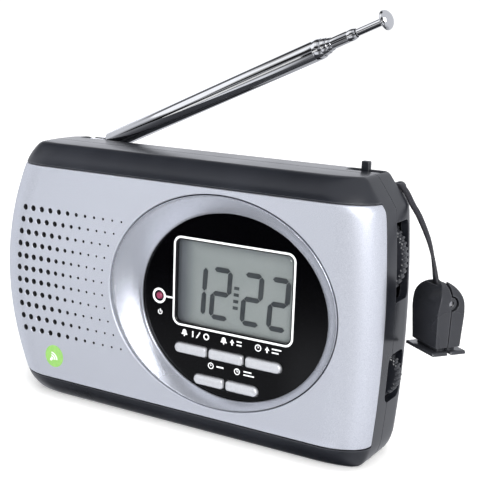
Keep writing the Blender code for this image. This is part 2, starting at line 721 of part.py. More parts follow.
def build_board_parts():
    rod_at = (0, 0.7, 66.2)
    finish(rod("ferrite_rod", rod_at, X_AXIS, 2.4, -28, 22, 16), "ferrite")
    finish(pipe("ferrite_coil", rod_at, X_AXIS, 3.05, 2.5, -8, 8, 16), "copper")
    finish(box("radio_chip", (22.0, 34.0), (PART_Y0, -0.6), (44.0, 50.5)), "ferrite")
    finish(box("if_can", (22.0, 29.0), (PART_Y0, 4.6), (53.0, 60.0)), "steel")
    finish(rod_y("smoothing_capacitor", (24.0, 38.0), 3.4, PART_Y0, 6.5, 16), "ferrite")


def rotary_control(name, centre, left, right, half_h, finish_name):
    """Square-cornered body with a shaft to the back for a thumbwheel."""
    x, z = centre
    body = box(name, (x - left, x + right), (PART_Y0, 1.1), (z - half_h, z + half_h))
    fuse(body, rod_y("shaft", centre, SHAFT_R, 0.5, 4.1))
    finish(tidy(body), finish_name)


def thumbwheel(name, centre, radius, teeth):
    """Knurled wheel with bevelled rims, a dished back and a bore for its shaft."""
    x, z = centre
    bevel = 0.35
    stations = ((WHEEL_Y0, bevel), (WHEEL_Y0 + bevel, 0.0),
                (WHEEL_Y1 - bevel, 0.0), (WHEEL_Y1, bevel))
    rings = []
    for y, inset in stations:
        ring = []
        for i in range(teeth * 2):
            a = math.pi * i / teeth
            r = radius - inset - (0.0 if i % 2 else 0.4)
            ring.append((x + r * math.cos(a), y, z + r * math.sin(a)))
        rings.append(ring)
    wheel = loft(name, rings)
    cut(wheel, rod_y("bore", centre, WHEEL_BORE_R, -5, 10))
    cut(wheel, pipe("dish", (x, 0, z), Y_AXIS, radius - 1.8, 3.4, WHEEL_Y1 - 0.8,
                    WHEEL_Y1 + 2, 20))
    finish(tidy(wheel), "black", origin=(x, (WHEEL_Y0 + WHEEL_Y1) / 2, z))


def build_controls():
    rotary_control("tuning_capacitor", TUNING_CENTRE, 7, 7, 7, "white")
    rotary_control("volume_control", VOLUME_CENTRE, 5.2, 3.0, 5.2, "ferrite")
    thumbwheel("tuning_thumbwheel", TUNING_CENTRE, TUNING_R, 32)
    thumbwheel("volume_thumbwheel", VOLUME_CENTRE, VOLUME_R, 20)


def build_band_switch():
    finish(box("band_switch", (44.0, 52.9), (0.8, 4.2), (68.2, 72.7)), "steel")
    lever = box("band_switch_lever", (LEVER_X - 1.1, LEVER_X + 1.1), LEVER_Y, (73.0, 77.4))
    finish(lever, "black", origin=(LEVER_X, sum(LEVER_Y) / 2, BODY_H))


def build_earphone_jack():
    at = (0, JACK_Y, JACK_Z)
    jack = rod("earphone_jack", at, X_AXIS, JACK_R, -61.6, -57.0, 16)
    fuse(jack, box("body", (-57.6, -46.0), (JACK_Y - JACK_BODY_HALF, JACK_Y + JACK_BODY_HALF),
                   (JACK_Z - JACK_BODY_HALF, JACK_Z + JACK_BODY_HALF)))
    cut(jack, rod("bore", at, X_AXIS, 1.75, -70, -47.5, 12))
    finish(tidy(jack), "black")


# ---------------------------------------------------------------- whip antenna
def build_antenna_swivel():
    """Upright turning head, grooved below and forked above for the hinge end."""
    x, y, _ = ANT_PIVOT
    profile = [(0, 65.6), (2.8, 65.6), (2.8, 66.75), (2.02, 66.75), (2.02, 69.0), (3.4, 69.0),
               (3.4, 74.2), (2.9, 74.8), (0, 74.8)]
    swivel = lathe("antenna_swivel", profile, (x, y, 0), Z_AXIS, 18)
    cut(swivel, box("fork", (x - 6, x + 6), (y - 1.15, y + 1.15), (69.5, 80)))
    cut(swivel, rod("hole", ANT_PIVOT, Y_AXIS, ANT_HOLE_R, -6, 6, 16))
    finish(tidy(swivel), "chrome", origin=ANT_PIVOT)
    pin = rod("antenna_hinge_pin", ANT_PIVOT, Y_AXIS, ANT_PIN_R, -3.1, 3.1, 16)
    finish(pin, "steel", origin=ANT_PIVOT)


def build_antenna():
    """Hinge end, telescopic tubes and tip rod, all raised to the right."""
    along = Vector((math.cos(ANT_RAISE), 0, math.sin(ANT_RAISE)))
    eye = rod("antenna_hinge_end", ANT_PIVOT, Y_AXIS, 2.3, -1.0, 1.0, 20)
    neck = box("neck", (0, 6.0), (-1.0, 1.0), (-1.9, 1.9))
    raised = Matrix.Rotation(-ANT_RAISE, 4, "Y")
    neck.data.transform(Matrix.Translation(ANT_PIVOT * MM) @ raised)
    fuse(eye, neck, rod("plug", ANT_PIVOT, along, 2.3, 5.0, 8.4, 16))
    cut(eye, rod("hole", ANT_PIVOT, Y_AXIS, ANT_HOLE_R, -6, 6, 16))
    finish(tidy(eye), "chrome", origin=ANT_PIVOT)

    for k, (outer, inner, start, end) in enumerate(ANT_TUBES):
        # the outer end is rolled in towards the next tube
        profile = [(inner, start), (outer, start), (outer, end - 1.0),
                   ((outer + inner) / 2, end), (inner, end)]
        tube = lathe(f"antenna_tube_{k + 1}", profile, ANT_PIVOT, along, 16, closed=True)
        finish(tube, "chrome", origin=ANT_PIVOT)

    tip = [(0, 24), (1.0, 24), (1.0, 98.0), (2.2, 98.3), (2.7, 98.8), (2.7, 99.3),
           (2.4, 100.0), (1.5, 100.6), (0, 100.9)]
    finish(lathe("antenna_tip_rod", tip, ANT_PIVOT, along, 16), "chrome", origin=ANT_PIVOT)


# ---------------------------------------------------------------- strap and clip
def build_strap():
    """Tapering ribbon, twisted towards the clip's pin, with a loop at each end."""
    finish(rod("strap_pin", STRAP_PIN, Y_AXIS, LINK_PIN_R, -3.0, 4.4, 12), "steel")
    path = smooth_path(STRAP_PATH, 3)
    last = len(path) - 1

    def ribbon(k):
        w = STRAP_W / 2 * (1 - 0.08 * k / last)
        t = STRAP_T / 2
        return [(-t, -w), (t, -w), (t, w), (-t, w)]

    def across(k):
        # the twist starts 45% of the way down and stops just short of the pin's direction
        return Vector(Y_AXIS).lerp(-CLIP_AXIS, max(0.0, k / last - 0.45) / 0.55 * 0.999)

    strap = sweep("strap", path, ribbon, across)
    fuse(strap, pipe("loop", STRAP_PIN, Y_AXIS, 1.6, 0.98, -1.2, 1.2, 16))
    fuse(strap, pipe("loop", CLIP_CENTRE, CLIP_AXIS, 2.0, 1.15, -1.15, 1.15, 16))
    finish(tidy(strap), "black", origin=STRAP_PIN)


# The jaws are modelled about the pin, which lies along X, and turned into place at the end.
def arch(half, top, low, rise, n=10):
    """Upright outline with a round top and slightly drawn-in foot."""
    points = [(half * 0.9, low)]
    for i in range(n + 1):
        a = math.pi * i / n
        points.append((half * math.cos(a), top - rise + rise * math.sin(a)))
    return points + [(-half * 0.9, low)]


def clip_shell(name, grow, low):
    """Pillow-topped block: two upright arches crossed at right angles."""
    top = CLIP_TOP + grow
    wide = prism(name, arch(CLIP_HALF_W + grow, top, low, 4.6), -9, 9)
    narrow = prism_x("cross", arch(CLIP_HALF_T + grow, top, low, 8.0), -12, 12)
    return combine(wide, narrow, "INTERSECT")


def wedge(angles, x0=-12, x1=12):
    """A sector about the pin between two angles off the upright, positive to the back."""
    start, end = angles
    points = [(0, 0)]
    for a in (start, (start + end) / 2, end):
        points.append((12 * math.sin(math.radians(a)), 12 * math.cos(math.radians(a))))
    return prism_x("wedge", points, x0, x1)


def jaw(name, side, top_cut, slot_cut, clear_r, clear_x, ear_r, ear_x, web_z):
    """One half of the clip: a cupped shell with ears on the pin and a flared lip.

    `side` is -1 for the front half and +1 for the rear; the two cuts are wedge angles.
    """
    def span(near, far):
        return sorted((side * near, side * far))

    piece = clip_shell(name, 0.0, CLIP_LOW)
    cut(piece, clip_shell("inside", -CLIP_WALL, CLIP_LOW - 3))
    combine(piece, box("side", (-15, 15), span(0.15, 12), (-20, 20)), "INTERSECT")
    cut(piece, wedge(top_cut), wedge(slot_cut, *CLIP_SLOT))
    cut(piece, rod("clear", (0, 0, 0), X_AXIS, clear_r, *clear_x, 16))
    ears = (ear_x, (-ear_x[1], -ear_x[0]))
    fuse(piece, *[rod("ear", (0, 0, 0), X_AXIS, ear_r, *x, 16) for x in ears])
    fuse(piece, *[box("web", x, span(0.8, 3.4), web_z) for x in ears])
    fuse(piece, box("neck", (-4.6, 4.6), span(0.45, 2.6), (-12.4, -10.5)))
    fuse(piece, box("grip", (-4.6, 4.6), span(2.2, 3.4), (-11.4, -9.7)))
    lip = [(-6.4, -13.1), (6.4, -13.1), (6.0, -12.2), (-6.0, -12.2)]
    fuse(piece, prism("lip", lip, *span(0.45, 4.9)))
    cut(piece, rod("bore", (0, 0, 0), X_AXIS, 0.88, -12, 12, 16))
    tidy(piece)
    turn = Matrix.Rotation(CLIP_TURN, 4, "Z")
    piece.data.transform(Matrix.Translation(CLIP_CENTRE * MM) @ turn)
    finish(piece, "black", origin=CLIP_CENTRE)


def build_clip():
    jaw("clip_front_jaw", side=-1, top_cut=(-1.5, 20), slot_cut=(-25, 20),
        clear_r=2.4, clear_x=CLIP_SLOT, ear_r=1.6, ear_x=(4.4, 5.4), web_z=(-1.3, 0.7))
    jaw("clip_rear_jaw", side=1, top_cut=(-20, 9), slot_cut=(-20, 29),
        clear_r=2.0, clear_x=(-12, 12), ear_r=1.5, ear_x=(2.9, 3.9), web_z=(-1.5, 0.2))
    pin = rod("clip_pin", CLIP_CENTRE, CLIP_AXIS, LINK_PIN_R, -5.0, 5.0, 16)
    finish(pin, "steel", origin=CLIP_CENTRE)
    spring = coil("clip_spring", CLIP_CENTRE + CLIP_AXIS * 1.5, CLIP_AXIS,
                  radii=(1.3, 1.3), length=0.9, turns=2.0, wire=0.2)
    finish(spring, "steel", origin=CLIP_CENTRE)


build_front_panel()
build_dial_ring()
build_dial_plate()
build_display()
build_buttons()
build_clock_board()
build_case_front()
build_case_rear()
build_battery_door()
build_case_screws()
build_batteries()
build_contacts()
build_speaker()
build_main_board()
build_board_parts()
build_controls()
build_band_switch()
build_earphone_jack()
build_antenna_swivel()
build_antenna()
build_strap()
build_clip()
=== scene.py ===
# A small radio with a clock display, a whip antenna and a strap that ends in a clip.
# It stands upright on Z = 0 and is centred on X = 0. Its front faces -Y, and the antenna rises
# towards +X. Left and right are -X and +X. Sizes are in mm in the CAD frame; meshes are in metres.
import json
from math import cos, pi, radians, sin, sqrt, tan

import bmesh
import bpy
from mathutils import Matrix, Vector

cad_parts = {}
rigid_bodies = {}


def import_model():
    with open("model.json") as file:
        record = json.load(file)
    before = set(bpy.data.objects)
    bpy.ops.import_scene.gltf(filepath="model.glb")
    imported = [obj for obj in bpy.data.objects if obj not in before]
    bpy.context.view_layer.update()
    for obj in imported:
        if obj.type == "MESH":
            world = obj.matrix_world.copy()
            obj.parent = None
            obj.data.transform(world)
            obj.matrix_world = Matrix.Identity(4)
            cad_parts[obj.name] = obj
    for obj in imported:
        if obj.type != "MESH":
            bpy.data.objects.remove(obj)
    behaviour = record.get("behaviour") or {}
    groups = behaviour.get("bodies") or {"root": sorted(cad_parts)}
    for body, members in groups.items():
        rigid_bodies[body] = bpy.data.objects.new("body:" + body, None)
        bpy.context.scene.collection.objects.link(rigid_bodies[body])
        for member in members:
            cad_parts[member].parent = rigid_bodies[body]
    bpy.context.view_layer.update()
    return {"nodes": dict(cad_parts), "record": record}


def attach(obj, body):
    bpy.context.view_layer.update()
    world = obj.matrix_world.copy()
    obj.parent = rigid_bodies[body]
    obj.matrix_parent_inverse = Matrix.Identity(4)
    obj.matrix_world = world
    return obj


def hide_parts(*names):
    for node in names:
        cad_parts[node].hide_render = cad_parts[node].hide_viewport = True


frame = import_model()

MM = 0.001
AXIS_X, AXIS_Y, AXIS_Z = (1, 0, 0), (0, 1, 0), (0, 0, 1)
scene = bpy.context.scene

# ================================================================ driving dimensions, mm
BODY_H = 75.0
FRONT_Y, REAR_Y = -15.0, 15.0
WALL, GAP, SEAM_Y = 1.6, 0.3, -1.2
RIM_R = 0.9                                 # rounding of the top and bottom edges
BULGE_LEFT, BULGE_RIGHT = 1.2, 0.15         # swelling of the sides behind the panel
PANEL_HALF_W, PANEL_Z0, PANEL_Z1, PANEL_T = 60.7, 6.4, 68.7, 1.3
PANEL_HALF_H = (PANEL_Z1 - PANEL_Z0) / 2
BOW_LEFT, BOW_RIGHT = 7.1, 1.6              # how far the ends draw in at top and bottom
END_RX, END_RY = 11.8, 7.6                  # radii of the panel's rolled ends
END_Y = FRONT_Y + END_RY
PLATE_Y1 = -12.0                            # foremost face of the hollow
# centres and radii in the front plane are (x, z)
RING_C, RING_R = (16.45, 38.24), (35.05, 29.0)
DIAL_C, DIAL_R = (19.6, 37.2), (28.4, 25.2)
DIAL_Y0, DIAL_Y1 = -12.3, -11.1
LCD_X, LCD_Z = (0.9, 38.0), (29.6, 54.4)
INDICATOR = (-3.6, 36.8)
SPEAKER_C = (-36.0, 38.0)
BUTTON_H = 2.8
# left end, right end, z, fully round left end, fully round right end
BUTTONS = {
    "alarm_on_off_button": (2.0, 12.1, 23.4, True, False),
    "alarm_set_button": (12.9, 23.5, 23.4, False, False),
    "time_set_button": (24.3, 35.0, 23.4, False, True),
    "hour_button": (8.4, 17.7, 15.6, True, False),
    "minute_button": (18.5, 28.3, 15.6, False, True),
}
TUNE_C, TUNE_R = (48.8, 53.3), 12.6
VOLUME_C, VOLUME_R = (54.8, 23.0), 6.9
WHEEL_Y0, WHEEL_Y1 = 1.5, 4.5
GROOVE_Y, GROOVE_Z, GROOVE_X0 = 6.1, 68.7, -46.5
ANT_PIVOT = Vector((-42.0, 10.3, 72.2))
ANT_RAISE = radians(24.0)
ANT_DIR = Vector((cos(ANT_RAISE), 0, sin(ANT_RAISE)))
# outer and inner radius, then start and end along the antenna, per tube
ANT_RADII = ((2.8, 2.45), (2.35, 2.05), (1.95, 1.65), (1.55, 1.2))
ANT_SPANS = ((4.8, 80.5), (10.0, 82.0), (11.5, 83.2), (18.5, 90.5))
TRAY_X, TRAY_Z = (-43.0, 14.5), (4.0, 34.2)
SCREWS = ((-49.0, 10.0), (50.0, 8.5), (-50.0, 58.0), (33.0, 64.5))
STRAP_PIN = Vector((54.6, 8.6, 70.3))
CLIP_C = Vector((69.7, 5.0, 44.5))
CLIP_TURN = radians(-36.0)


# ================================================================ node materials
INPUTS = {
    "color": "Base Color", "rough": "Roughness", "metal": "Metallic", "normal": "Normal",
    "coat": "Coat Weight", "coat_rough": "Coat Roughness", "spec": "Specular IOR Level",
    "emit": "Emission Strength", "emit_color": "Emission Color", "sss": "Subsurface Weight",
}


class Shader:
    """A node tree with helpers. A value may be a number, a colour or another node's output."""

    def __init__(self, tree, coords):
        self.tree = tree
        tree.nodes.clear()
        self.coords = self.node("TexCoord").outputs[coords]

    def node(self, kind, **inputs):
        node = self.tree.nodes.new("ShaderNode" + kind)
        for name, value in inputs.items():
            self.put(node.inputs[name], value)
        return node

    def link(self, source, target):
        self.tree.links.new(source, target)

    def put(self, socket, value):
        if isinstance(value, bpy.types.NodeSocket):
            self.link(value, socket)
        else:
            socket.default_value = (*value, 1.0) if isinstance(value, tuple) else value

    def noise(self, scale, detail=2.0, rough=0.5, stretch=None):
        coords = self.coords
        if stretch:
            mapping = self.node("Mapping")
            mapping.inputs["Scale"].default_value = stretch
            self.link(coords, mapping.inputs[0])
            coords = mapping.outputs[0]
        return self.node("TexNoise", Scale=scale, Detail=detail, Roughness=rough,
                         Vector=coords).outputs["Fac"]

    def math(self, operation, first, second=0.0):
        node = self.node("Math")
        node.operation = operation
        self.put(node.inputs[0], first)
        self.put(node.inputs[1], second)
        return node.outputs[0]

    def times(self, first, second):
        return self.math("MULTIPLY", first, second)

    def ramp(self, value, start=0.3, end=0.7, low=0.0, high=1.0, smooth=False):
        """`low` where the value is at `start`, `high` where it is at `end`."""
        node = self.node("MapRange")
        if smooth:
            node.interpolation_type = "SMOOTHSTEP"
        for i, item in enumerate((value, start, end, low, high)):
            self.put(node.inputs[i], item)
        return node.outputs[0]

    def mix(self, factor, first, second):
        node = self.node("Mix")
        node.data_type = "RGBA"
        self.put(node.inputs[0], factor)
        self.put(node.inputs[6], first)
        self.put(node.inputs[7], second)
        return node.outputs[2]

    def axis(self, letter):
        return self.node("SeparateXYZ", Vector=self.coords).outputs["XYZ".index(letter)]

    def bump(self, height, strength, distance):
        return self.node("Bump", Strength=strength, Distance=distance, Height=height).outputs[0]

    def edge(self, radius):
        """0 on flats to about 1 on worn edges."""
        rounded = self.node("Bevel", Radius=radius)
        rounded.samples = 4
        geometry = self.node("NewGeometry")
        dot = self.node("VectorMath")
        dot.operation = "DOT_PRODUCT"
        self.link(rounded.outputs[0], dot.inputs[0])
        self.link(geometry.outputs["Normal"], dot.inputs[1])
        return self.ramp(dot.outputs["Value"], start=0.97, end=0.75)


class Surface(Shader):
    """A material in object coordinates, which are metres."""

    def __init__(self, name):
        self.material = bpy.data.materials.new(name)
        self.material.use_nodes = True
        super().__init__(self.material.node_tree, "Object")

    def output(self, shader):
        self.link(shader, self.node("OutputMaterial").inputs[0])
        return self.material

    def finish(self, **values):
        bsdf = self.node("BsdfPrincipled")
        for key, value in values.items():
            self.put(bsdf.inputs[INPUTS[key]], value)
        return self.output(bsdf.outputs[0])


def silver_paint(name, rough, metal):
    mat = Surface(name)
    flake = mat.noise(scale=5200, detail=1.5)
    cloud = mat.noise(scale=26)
    tint = mat.mix(mat.ramp(flake), (0.455, 0.478, 0.547), (0.602, 0.622, 0.689))
    worn = mat.times(mat.edge(radius=0.0005), 0.25)
    return mat.finish(
        color=mat.mix(worn, tint, (0.8, 0.81, 0.84)), metal=metal,
        rough=mat.ramp(cloud, low=rough - 0.03, high=rough + 0.03), coat=0.12, coat_rough=0.25,
        normal=mat.bump(flake, strength=0.10, distance=0.00003))


def black_plastic(name, dark=(0.008, 0.009, 0.0125), light=(0.014, 0.0155, 0.021),
                  rough=0.30, grain=2300, depth=0.25):
    mat = Surface(name)
    pits = mat.noise(scale=grain, detail=3.0, rough=0.6)
    smudge = mat.noise(scale=45, detail=3.0)
    tint = mat.mix(mat.ramp(smudge, start=0.35), dark, light)
    worn = mat.times(mat.edge(radius=0.0006), 0.35)
    return mat.finish(
        color=mat.mix(worn, tint, (0.14, 0.145, 0.16)),
        rough=mat.ramp(smudge, low=rough - 0.04, high=rough + 0.08),
        spec=0.5, coat=0.3, coat_rough=0.2,
        normal=mat.bump(pits, strength=depth, distance=0.00006))


def gloss_black():
    mat = Surface("dial_gloss_black")
    dust = mat.noise(scale=2600)
    haze = mat.noise(scale=60)
    return mat.finish(
        color=mat.mix(haze, (0.0004, 0.0004, 0.0006), (0.001, 0.001, 0.0014)),
        rough=mat.ramp(dust, start=0.55, end=0.8, low=0.05, high=0.16),
        coat=0.6, coat_rough=0.04, spec=0.5)


def antenna_chrome():
    mat = Surface("antenna_chrome")
    streaks = mat.noise(scale=900, stretch=(0.08, 1, 0.3))
    return mat.finish(
        color=mat.mix(mat.noise(scale=300), (0.82, 0.83, 0.85), (0.93, 0.93, 0.94)),
        metal=1.0, rough=mat.ramp(streaks, low=0.05, high=0.11))


def satin(name, dark, light, rough, metal=0.0, scale=400, depth=0.05, coat=0.0):
    mat = Surface(name)
    grain = mat.noise(scale=scale, detail=3.0)
    return mat.finish(
        color=mat.mix(mat.ramp(grain), dark, light),
        rough=mat.ramp(grain, low=rough - 0.04, high=rough + 0.06), metal=metal, coat=coat,
        normal=mat.bump(grain, strength=depth, distance=0.00005))


def clear_window():
    """Clear acrylic that shows its reflection and lets light straight through."""
    mat = Surface("window_acrylic")
    tint = mat.mix(mat.noise(scale=200), (0.95, 0.965, 0.96), (0.985, 0.99, 0.985))
    clear = mat.node("BsdfTransparent", Color=tint)
    gloss = mat.node("BsdfGlossy", Roughness=0.03)
    fresnel = mat.node("Fresnel", IOR=1.47)
    # only the outer surface reflects; light leaving the far side goes straight on
    outside = mat.math("SUBTRACT", 1.0, mat.node("NewGeometry").outputs["Backfacing"])
    blend = mat.node("MixShader")
    for i, source in enumerate((mat.times(fresnel.outputs[0], outside),
                                clear.outputs[0], gloss.outputs[0])):
        mat.link(source, blend.inputs[i])
    return mat.output(blend.outputs[0])


def lcd_back():
    mat = Surface("lcd_reflector")
    speck = mat.noise(scale=3500)
    cloud = mat.noise(scale=30, detail=1.0)
    base = mat.mix(mat.ramp(cloud), (0.198, 0.211, 0.216), (0.226, 0.239, 0.242))
    specks = mat.times(mat.ramp(speck, start=0.4, end=0.65), 0.16)
    base = mat.mix(specks, base, (0.12, 0.128, 0.125))
    # the left and top edges of the reflector fall into shade under the frame
    side = mat.ramp(mat.axis("X"), start=(LCD_X[0] + 1.5) * MM, end=(LCD_X[0] + 7.5) * MM,
                    low=1.0, high=0.0, smooth=True)
    top = mat.ramp(mat.axis("Z"), start=(LCD_Z[1] - 4.5) * MM, end=LCD_Z[1] * MM, smooth=True)
    shade = mat.math("MAXIMUM", mat.times(side, 0.80), mat.times(top, 0.45))
    return mat.finish(color=mat.mix(shade, base, (0.052, 0.055, 0.070)), rough=0.42, spec=0.35)


def red_lens():
    mat = Surface("indicator_red")
    cloud = mat.noise(scale=900)
    return mat.finish(color=mat.mix(cloud, (0.20, 0.020, 0.055), (0.26, 0.036, 0.085)),
                      rough=mat.ramp(cloud, low=0.12, high=0.2), coat=0.5, sss=0.15)


def knit_strap():
    """Fine woven cord: threads broken up by noise."""
    mat = Surface("strap_fabric")
    threads = mat.node("TexWave", Scale=900, Distortion=0.6, Vector=mat.coords)
    fuzz = mat.times(mat.noise(scale=1500, detail=3.0), 0.6)
    height = mat.math("ADD", threads.outputs["Fac"], fuzz)
    tint = mat.mix(mat.ramp(height, end=1.3), (0.008, 0.008, 0.011), (0.024, 0.024, 0.031))
    return mat.finish(color=tint, rough=0.5, spec=0.35,
                      normal=mat.bump(height, strength=0.5, distance=0.0001))


def cell_jacket():
    """Green in the middle, black beyond 13 mm from x = -14.5 mm."""
    mat = Surface("cell_jacket")
    from_middle = mat.math("ABSOLUTE", mat.math("ADD", mat.axis("X"), 0.0145))
    band = mat.ramp(from_middle, start=0.0128, end=0.0130)
    cloud = mat.noise(scale=500)
    green = mat.mix(cloud, (0.015, 0.17, 0.07), (0.03, 0.24, 0.10))
    return mat.finish(color=mat.mix(band, green, (0.02, 0.02, 0.022)), metal=0.3,
                      rough=mat.ramp(cloud, low=0.25, high=0.36), coat=0.4)


def board_green():
    mat = Surface("board_green")
    cells = mat.node("TexVoronoi", Scale=260, Vector=mat.coords)
    cells.feature = "DISTANCE_TO_EDGE"
    tracks = mat.ramp(cells.outputs["Distance"], start=0.0, end=0.08, low=1.0, high=0.0)
    tint = mat.mix(mat.times(tracks, 0.5), (0.01, 0.12, 0.05), (0.05, 0.30, 0.12))
    return mat.finish(color=tint, rough=mat.ramp(mat.noise(scale=300), low=0.3, high=0.42),
                      normal=mat.bump(tracks, strength=0.2, distance=0.00004))


MATS = {
    "silver": silver_paint("silver_paint", rough=0.36, metal=0.52),
    "ring": silver_paint("silver_paint_ring", rough=0.27, metal=0.76),
    "black": black_plastic("case_black_abs"),
    "wheel": black_plastic("wheel_black", grain=1500, depth=0.15),
    "clip": black_plastic("clip_black", (0.016, 0.017, 0.020), (0.025, 0.026, 0.031),
                          rough=0.22, grain=1200, depth=0.08),
    "dial": gloss_black(),
    "chrome": antenna_chrome(),
    "steel": satin("plated_steel", (0.50, 0.50, 0.52), (0.66, 0.66, 0.68),
                   rough=0.28, metal=1.0, scale=700),
    "button": satin("button_silver_white", (0.49, 0.50, 0.53), (0.565, 0.575, 0.605),
                    rough=0.32, metal=0.35, scale=3000, depth=0.04, coat=0.2),
    "window": clear_window(),
    "lcd": lcd_back(),
    "segment": satin("segment_black", (0.032, 0.035, 0.041), (0.041, 0.045, 0.051), rough=0.4),
    "print": satin("print_white", (0.74, 0.75, 0.76), (0.86, 0.86, 0.87),
                   rough=0.45, scale=2000),
    "red": red_lens(),
    "green_print": satin("badge_green", (0.19, 0.39, 0.09), (0.24, 0.46, 0.11),
                         rough=0.42, scale=1500),
    "strap": knit_strap(),
    "cell": cell_jacket(),
    "board": board_green(),
    "rubber": satin("keypad_rubber", (0.20, 0.20, 0.21), (0.28, 0.28, 0.29),
                    rough=0.75, scale=900, depth=0.2),
    "component": satin("component_black", (0.018, 0.018, 0.019), (0.035, 0.035, 0.037),
                       rough=0.5, scale=1200, depth=0.2),
    "white_part": satin("component_white", (0.62, 0.61, 0.57), (0.74, 0.73, 0.69),
                        rough=0.45, scale=900, depth=0.1),
    "ferrite": satin("ferrite_grey", (0.05, 0.05, 0.055), (0.09, 0.09, 0.095),
                     rough=0.7, metal=0.1, scale=2500, depth=0.5),
    "copper": satin("coil_copper", (0.55, 0.22, 0.08), (0.74, 0.34, 0.14),
                    rough=0.3, metal=0.9, scale=3000, depth=0.4),
    "paper": satin("cone_paper", (0.02, 0.019, 0.018), (0.05, 0.047, 0.044),
                   rough=0.85, scale=2200, depth=0.6),
    "cloth": satin("grille_cloth", (0.003, 0.003, 0.0035), (0.008, 0.008, 0.009),
                   rough=0.95, scale=3500, depth=0.8),
    # near-black colour for the grille hole walls: painted shade inside the holes
    "hole_shade": satin("painted_hole_shade", (0.010, 0.010, 0.012), (0.018, 0.018, 0.020),
                       rough=0.7, scale=3000, depth=0.2),
}
SLOT_MATS = {
    "silver_panel": "silver", "black_case": "black", "gloss_black_dial": "dial",
    "clear_window": "window", "display_glass": "lcd", "red_lens": "red",
    "silver_buttons": "button", "keypad_rubber": "rubber", "circuit_board": "board",
    "black_component": "component", "white_component": "white_part", "ferrite": "ferrite",
    "copper_wire": "copper", "steel": "steel", "battery_jacket": "cell",
    "speaker_paper": "paper", "wheel_black": "wheel", "antenna_chrome": "chrome",
    "strap_black": "strap", "clip_black": "clip",
}
NODE_SLOT = {s["node"]: s["material_slot"] for s in frame["record"]["subparts"]}


def finish_surface(obj, material, sharp):
    obj.data.materials.clear()
    obj.data.materials.append(MATS[material])
    obj.data.shade_smooth()
    obj.data.set_sharp_from_angle(angle=radians(sharp))


for node_name, cad_obj in frame["nodes"].items():
    finish_surface(cad_obj, SLOT_MATS[NODE_SLOT[node_name]], sharp=32)


# ================================================================ modelling helpers
def solid(name, points, faces, weld=True):
    """Mesh object from points in mm, with its faces turned outwards."""
    mesh = bpy.data.meshes.new(name)
    mesh.from_pydata([tuple(c * MM for c in point) for point in points], [], faces)
    edit = bmesh.new()
    edit.from_mesh(mesh)
    if weld:
        bmesh.ops.remove_doubles(edit, verts=edit.verts, dist=1e-7)
    bmesh.ops.recalc_face_normals(edit, faces=edit.faces)
    if edit.calc_volume(signed=True) < 0:
        bmesh.ops.reverse_faces(edit, faces=edit.faces)
    edit.to_mesh(mesh)
    edit.free()
    obj = bpy.data.objects.new(name, mesh)
    scene.collection.objects.link(obj)
    return obj


def baked(obj):
    """Apply an object's modifiers."""
    graph = bpy.context.evaluated_depsgraph_get()
    mesh = bpy.data.meshes.new_from_object(obj.evaluated_get(graph))
    obj.modifiers.clear()
    obj.data = mesh
    return obj


def combine(obj, other, operation):
    boolean = obj.modifiers.new("cut", "BOOLEAN")
    boolean.operation = operation
    boolean.solver = "EXACT"
    boolean.object = other
    baked(obj)
    bpy.data.objects.remove(other, do_unlink=True)
    return obj


def cut(obj, *others):
    for other in others:
        combine(obj, other, "DIFFERENCE")
    return obj


def fuse(obj, *others):
    for other in others:
        combine(obj, other, "UNION")
    return obj


def tidy(obj, dist=2e-6):
    edit = bmesh.new()
    edit.from_mesh(obj.data)
    bmesh.ops.remove_doubles(edit, verts=edit.verts, dist=dist)
    bmesh.ops.dissolve_degenerate(edit, edges=edit.edges, dist=dist)
    edit.to_mesh(obj.data)
    edit.free()
    return obj


def bevel(obj, width, segments=3, angle=40):
    rounding = obj.modifiers.new("bevel", "BEVEL")
    rounding.width = width * MM
    rounding.segments = segments
    rounding.limit_method = "ANGLE"
    rounding.angle_limit = radians(angle)
    rounding.use_clamp_overlap = True
    return baked(obj)


def place(obj, material, body, node=None, sharp=32):
    """Finish a piece: material, shading, the body it rides on, the CAD node it stands for."""
    finish_surface(obj, material, sharp)
    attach(obj, body)
    if node:
        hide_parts(node)
    return obj


def box(name, x, y, z):
    points = [(a, b, c) for c in z for b in y for a in x]
    return solid(name, points, [(0, 1, 3, 2), (4, 5, 7, 6), (0, 1, 5, 4), (2, 3, 7, 6),
                                (0, 2, 6, 4), (1, 3, 7, 5)])


def strip_faces(rows):
    """Faces between neighbouring rows of point numbers; a row of one repeated point is a pole."""
    faces = []
    for here, there in zip(rows, rows[1:]):
        for i in range(len(here)):
            j = (i + 1) % len(here)
            face = tuple(dict.fromkeys((here[i], here[j], there[j], there[i])))
            if len(face) > 2:
                faces.append(face)
    return faces


def loft(name, rings, closed=False):
    """Skin over rings of points: capped at both ends, or joined round from last to first."""
    count = len(rings[0])
    points = [point for ring in rings for point in ring]
    rows = [range(k * count, (k + 1) * count) for k in range(len(rings))]
    if closed:
        return solid(name, points, strip_faces(rows + rows[:1]))
    return solid(name, points, strip_faces(rows) + [tuple(rows[0]), tuple(rows[-1])])


def lathe(name, profile, at, axis, count=48, closed=False):
    """Turn a profile of (radius, distance along the axis)."""
    along = Vector(axis).normalized()
    side = along.cross(Vector(AXIS_Z if abs(along.z) < 0.9 else AXIS_X)).normalized()
    across = along.cross(side)
    at = Vector(at)
    points, rows = [], []
    for r, h in profile:
        if r < 1e-6:
            rows.append([len(points)] * count)
            points.append(at + along * h)
        else:
            rows.append([len(points) + i for i in range(count)])
            for i in range(count):
                a = 2 * pi * i / count
                points.append(at + side * (r * cos(a)) + across * (r * sin(a)) + along * h)
    return solid(name, points, strip_faces(rows + rows[:1] if closed else rows))


def rod(name, at, axis, r, h0, h1, count=32):
    return lathe(name, [(0, h0), (r, h0), (r, h1), (0, h1)], at, axis, count)


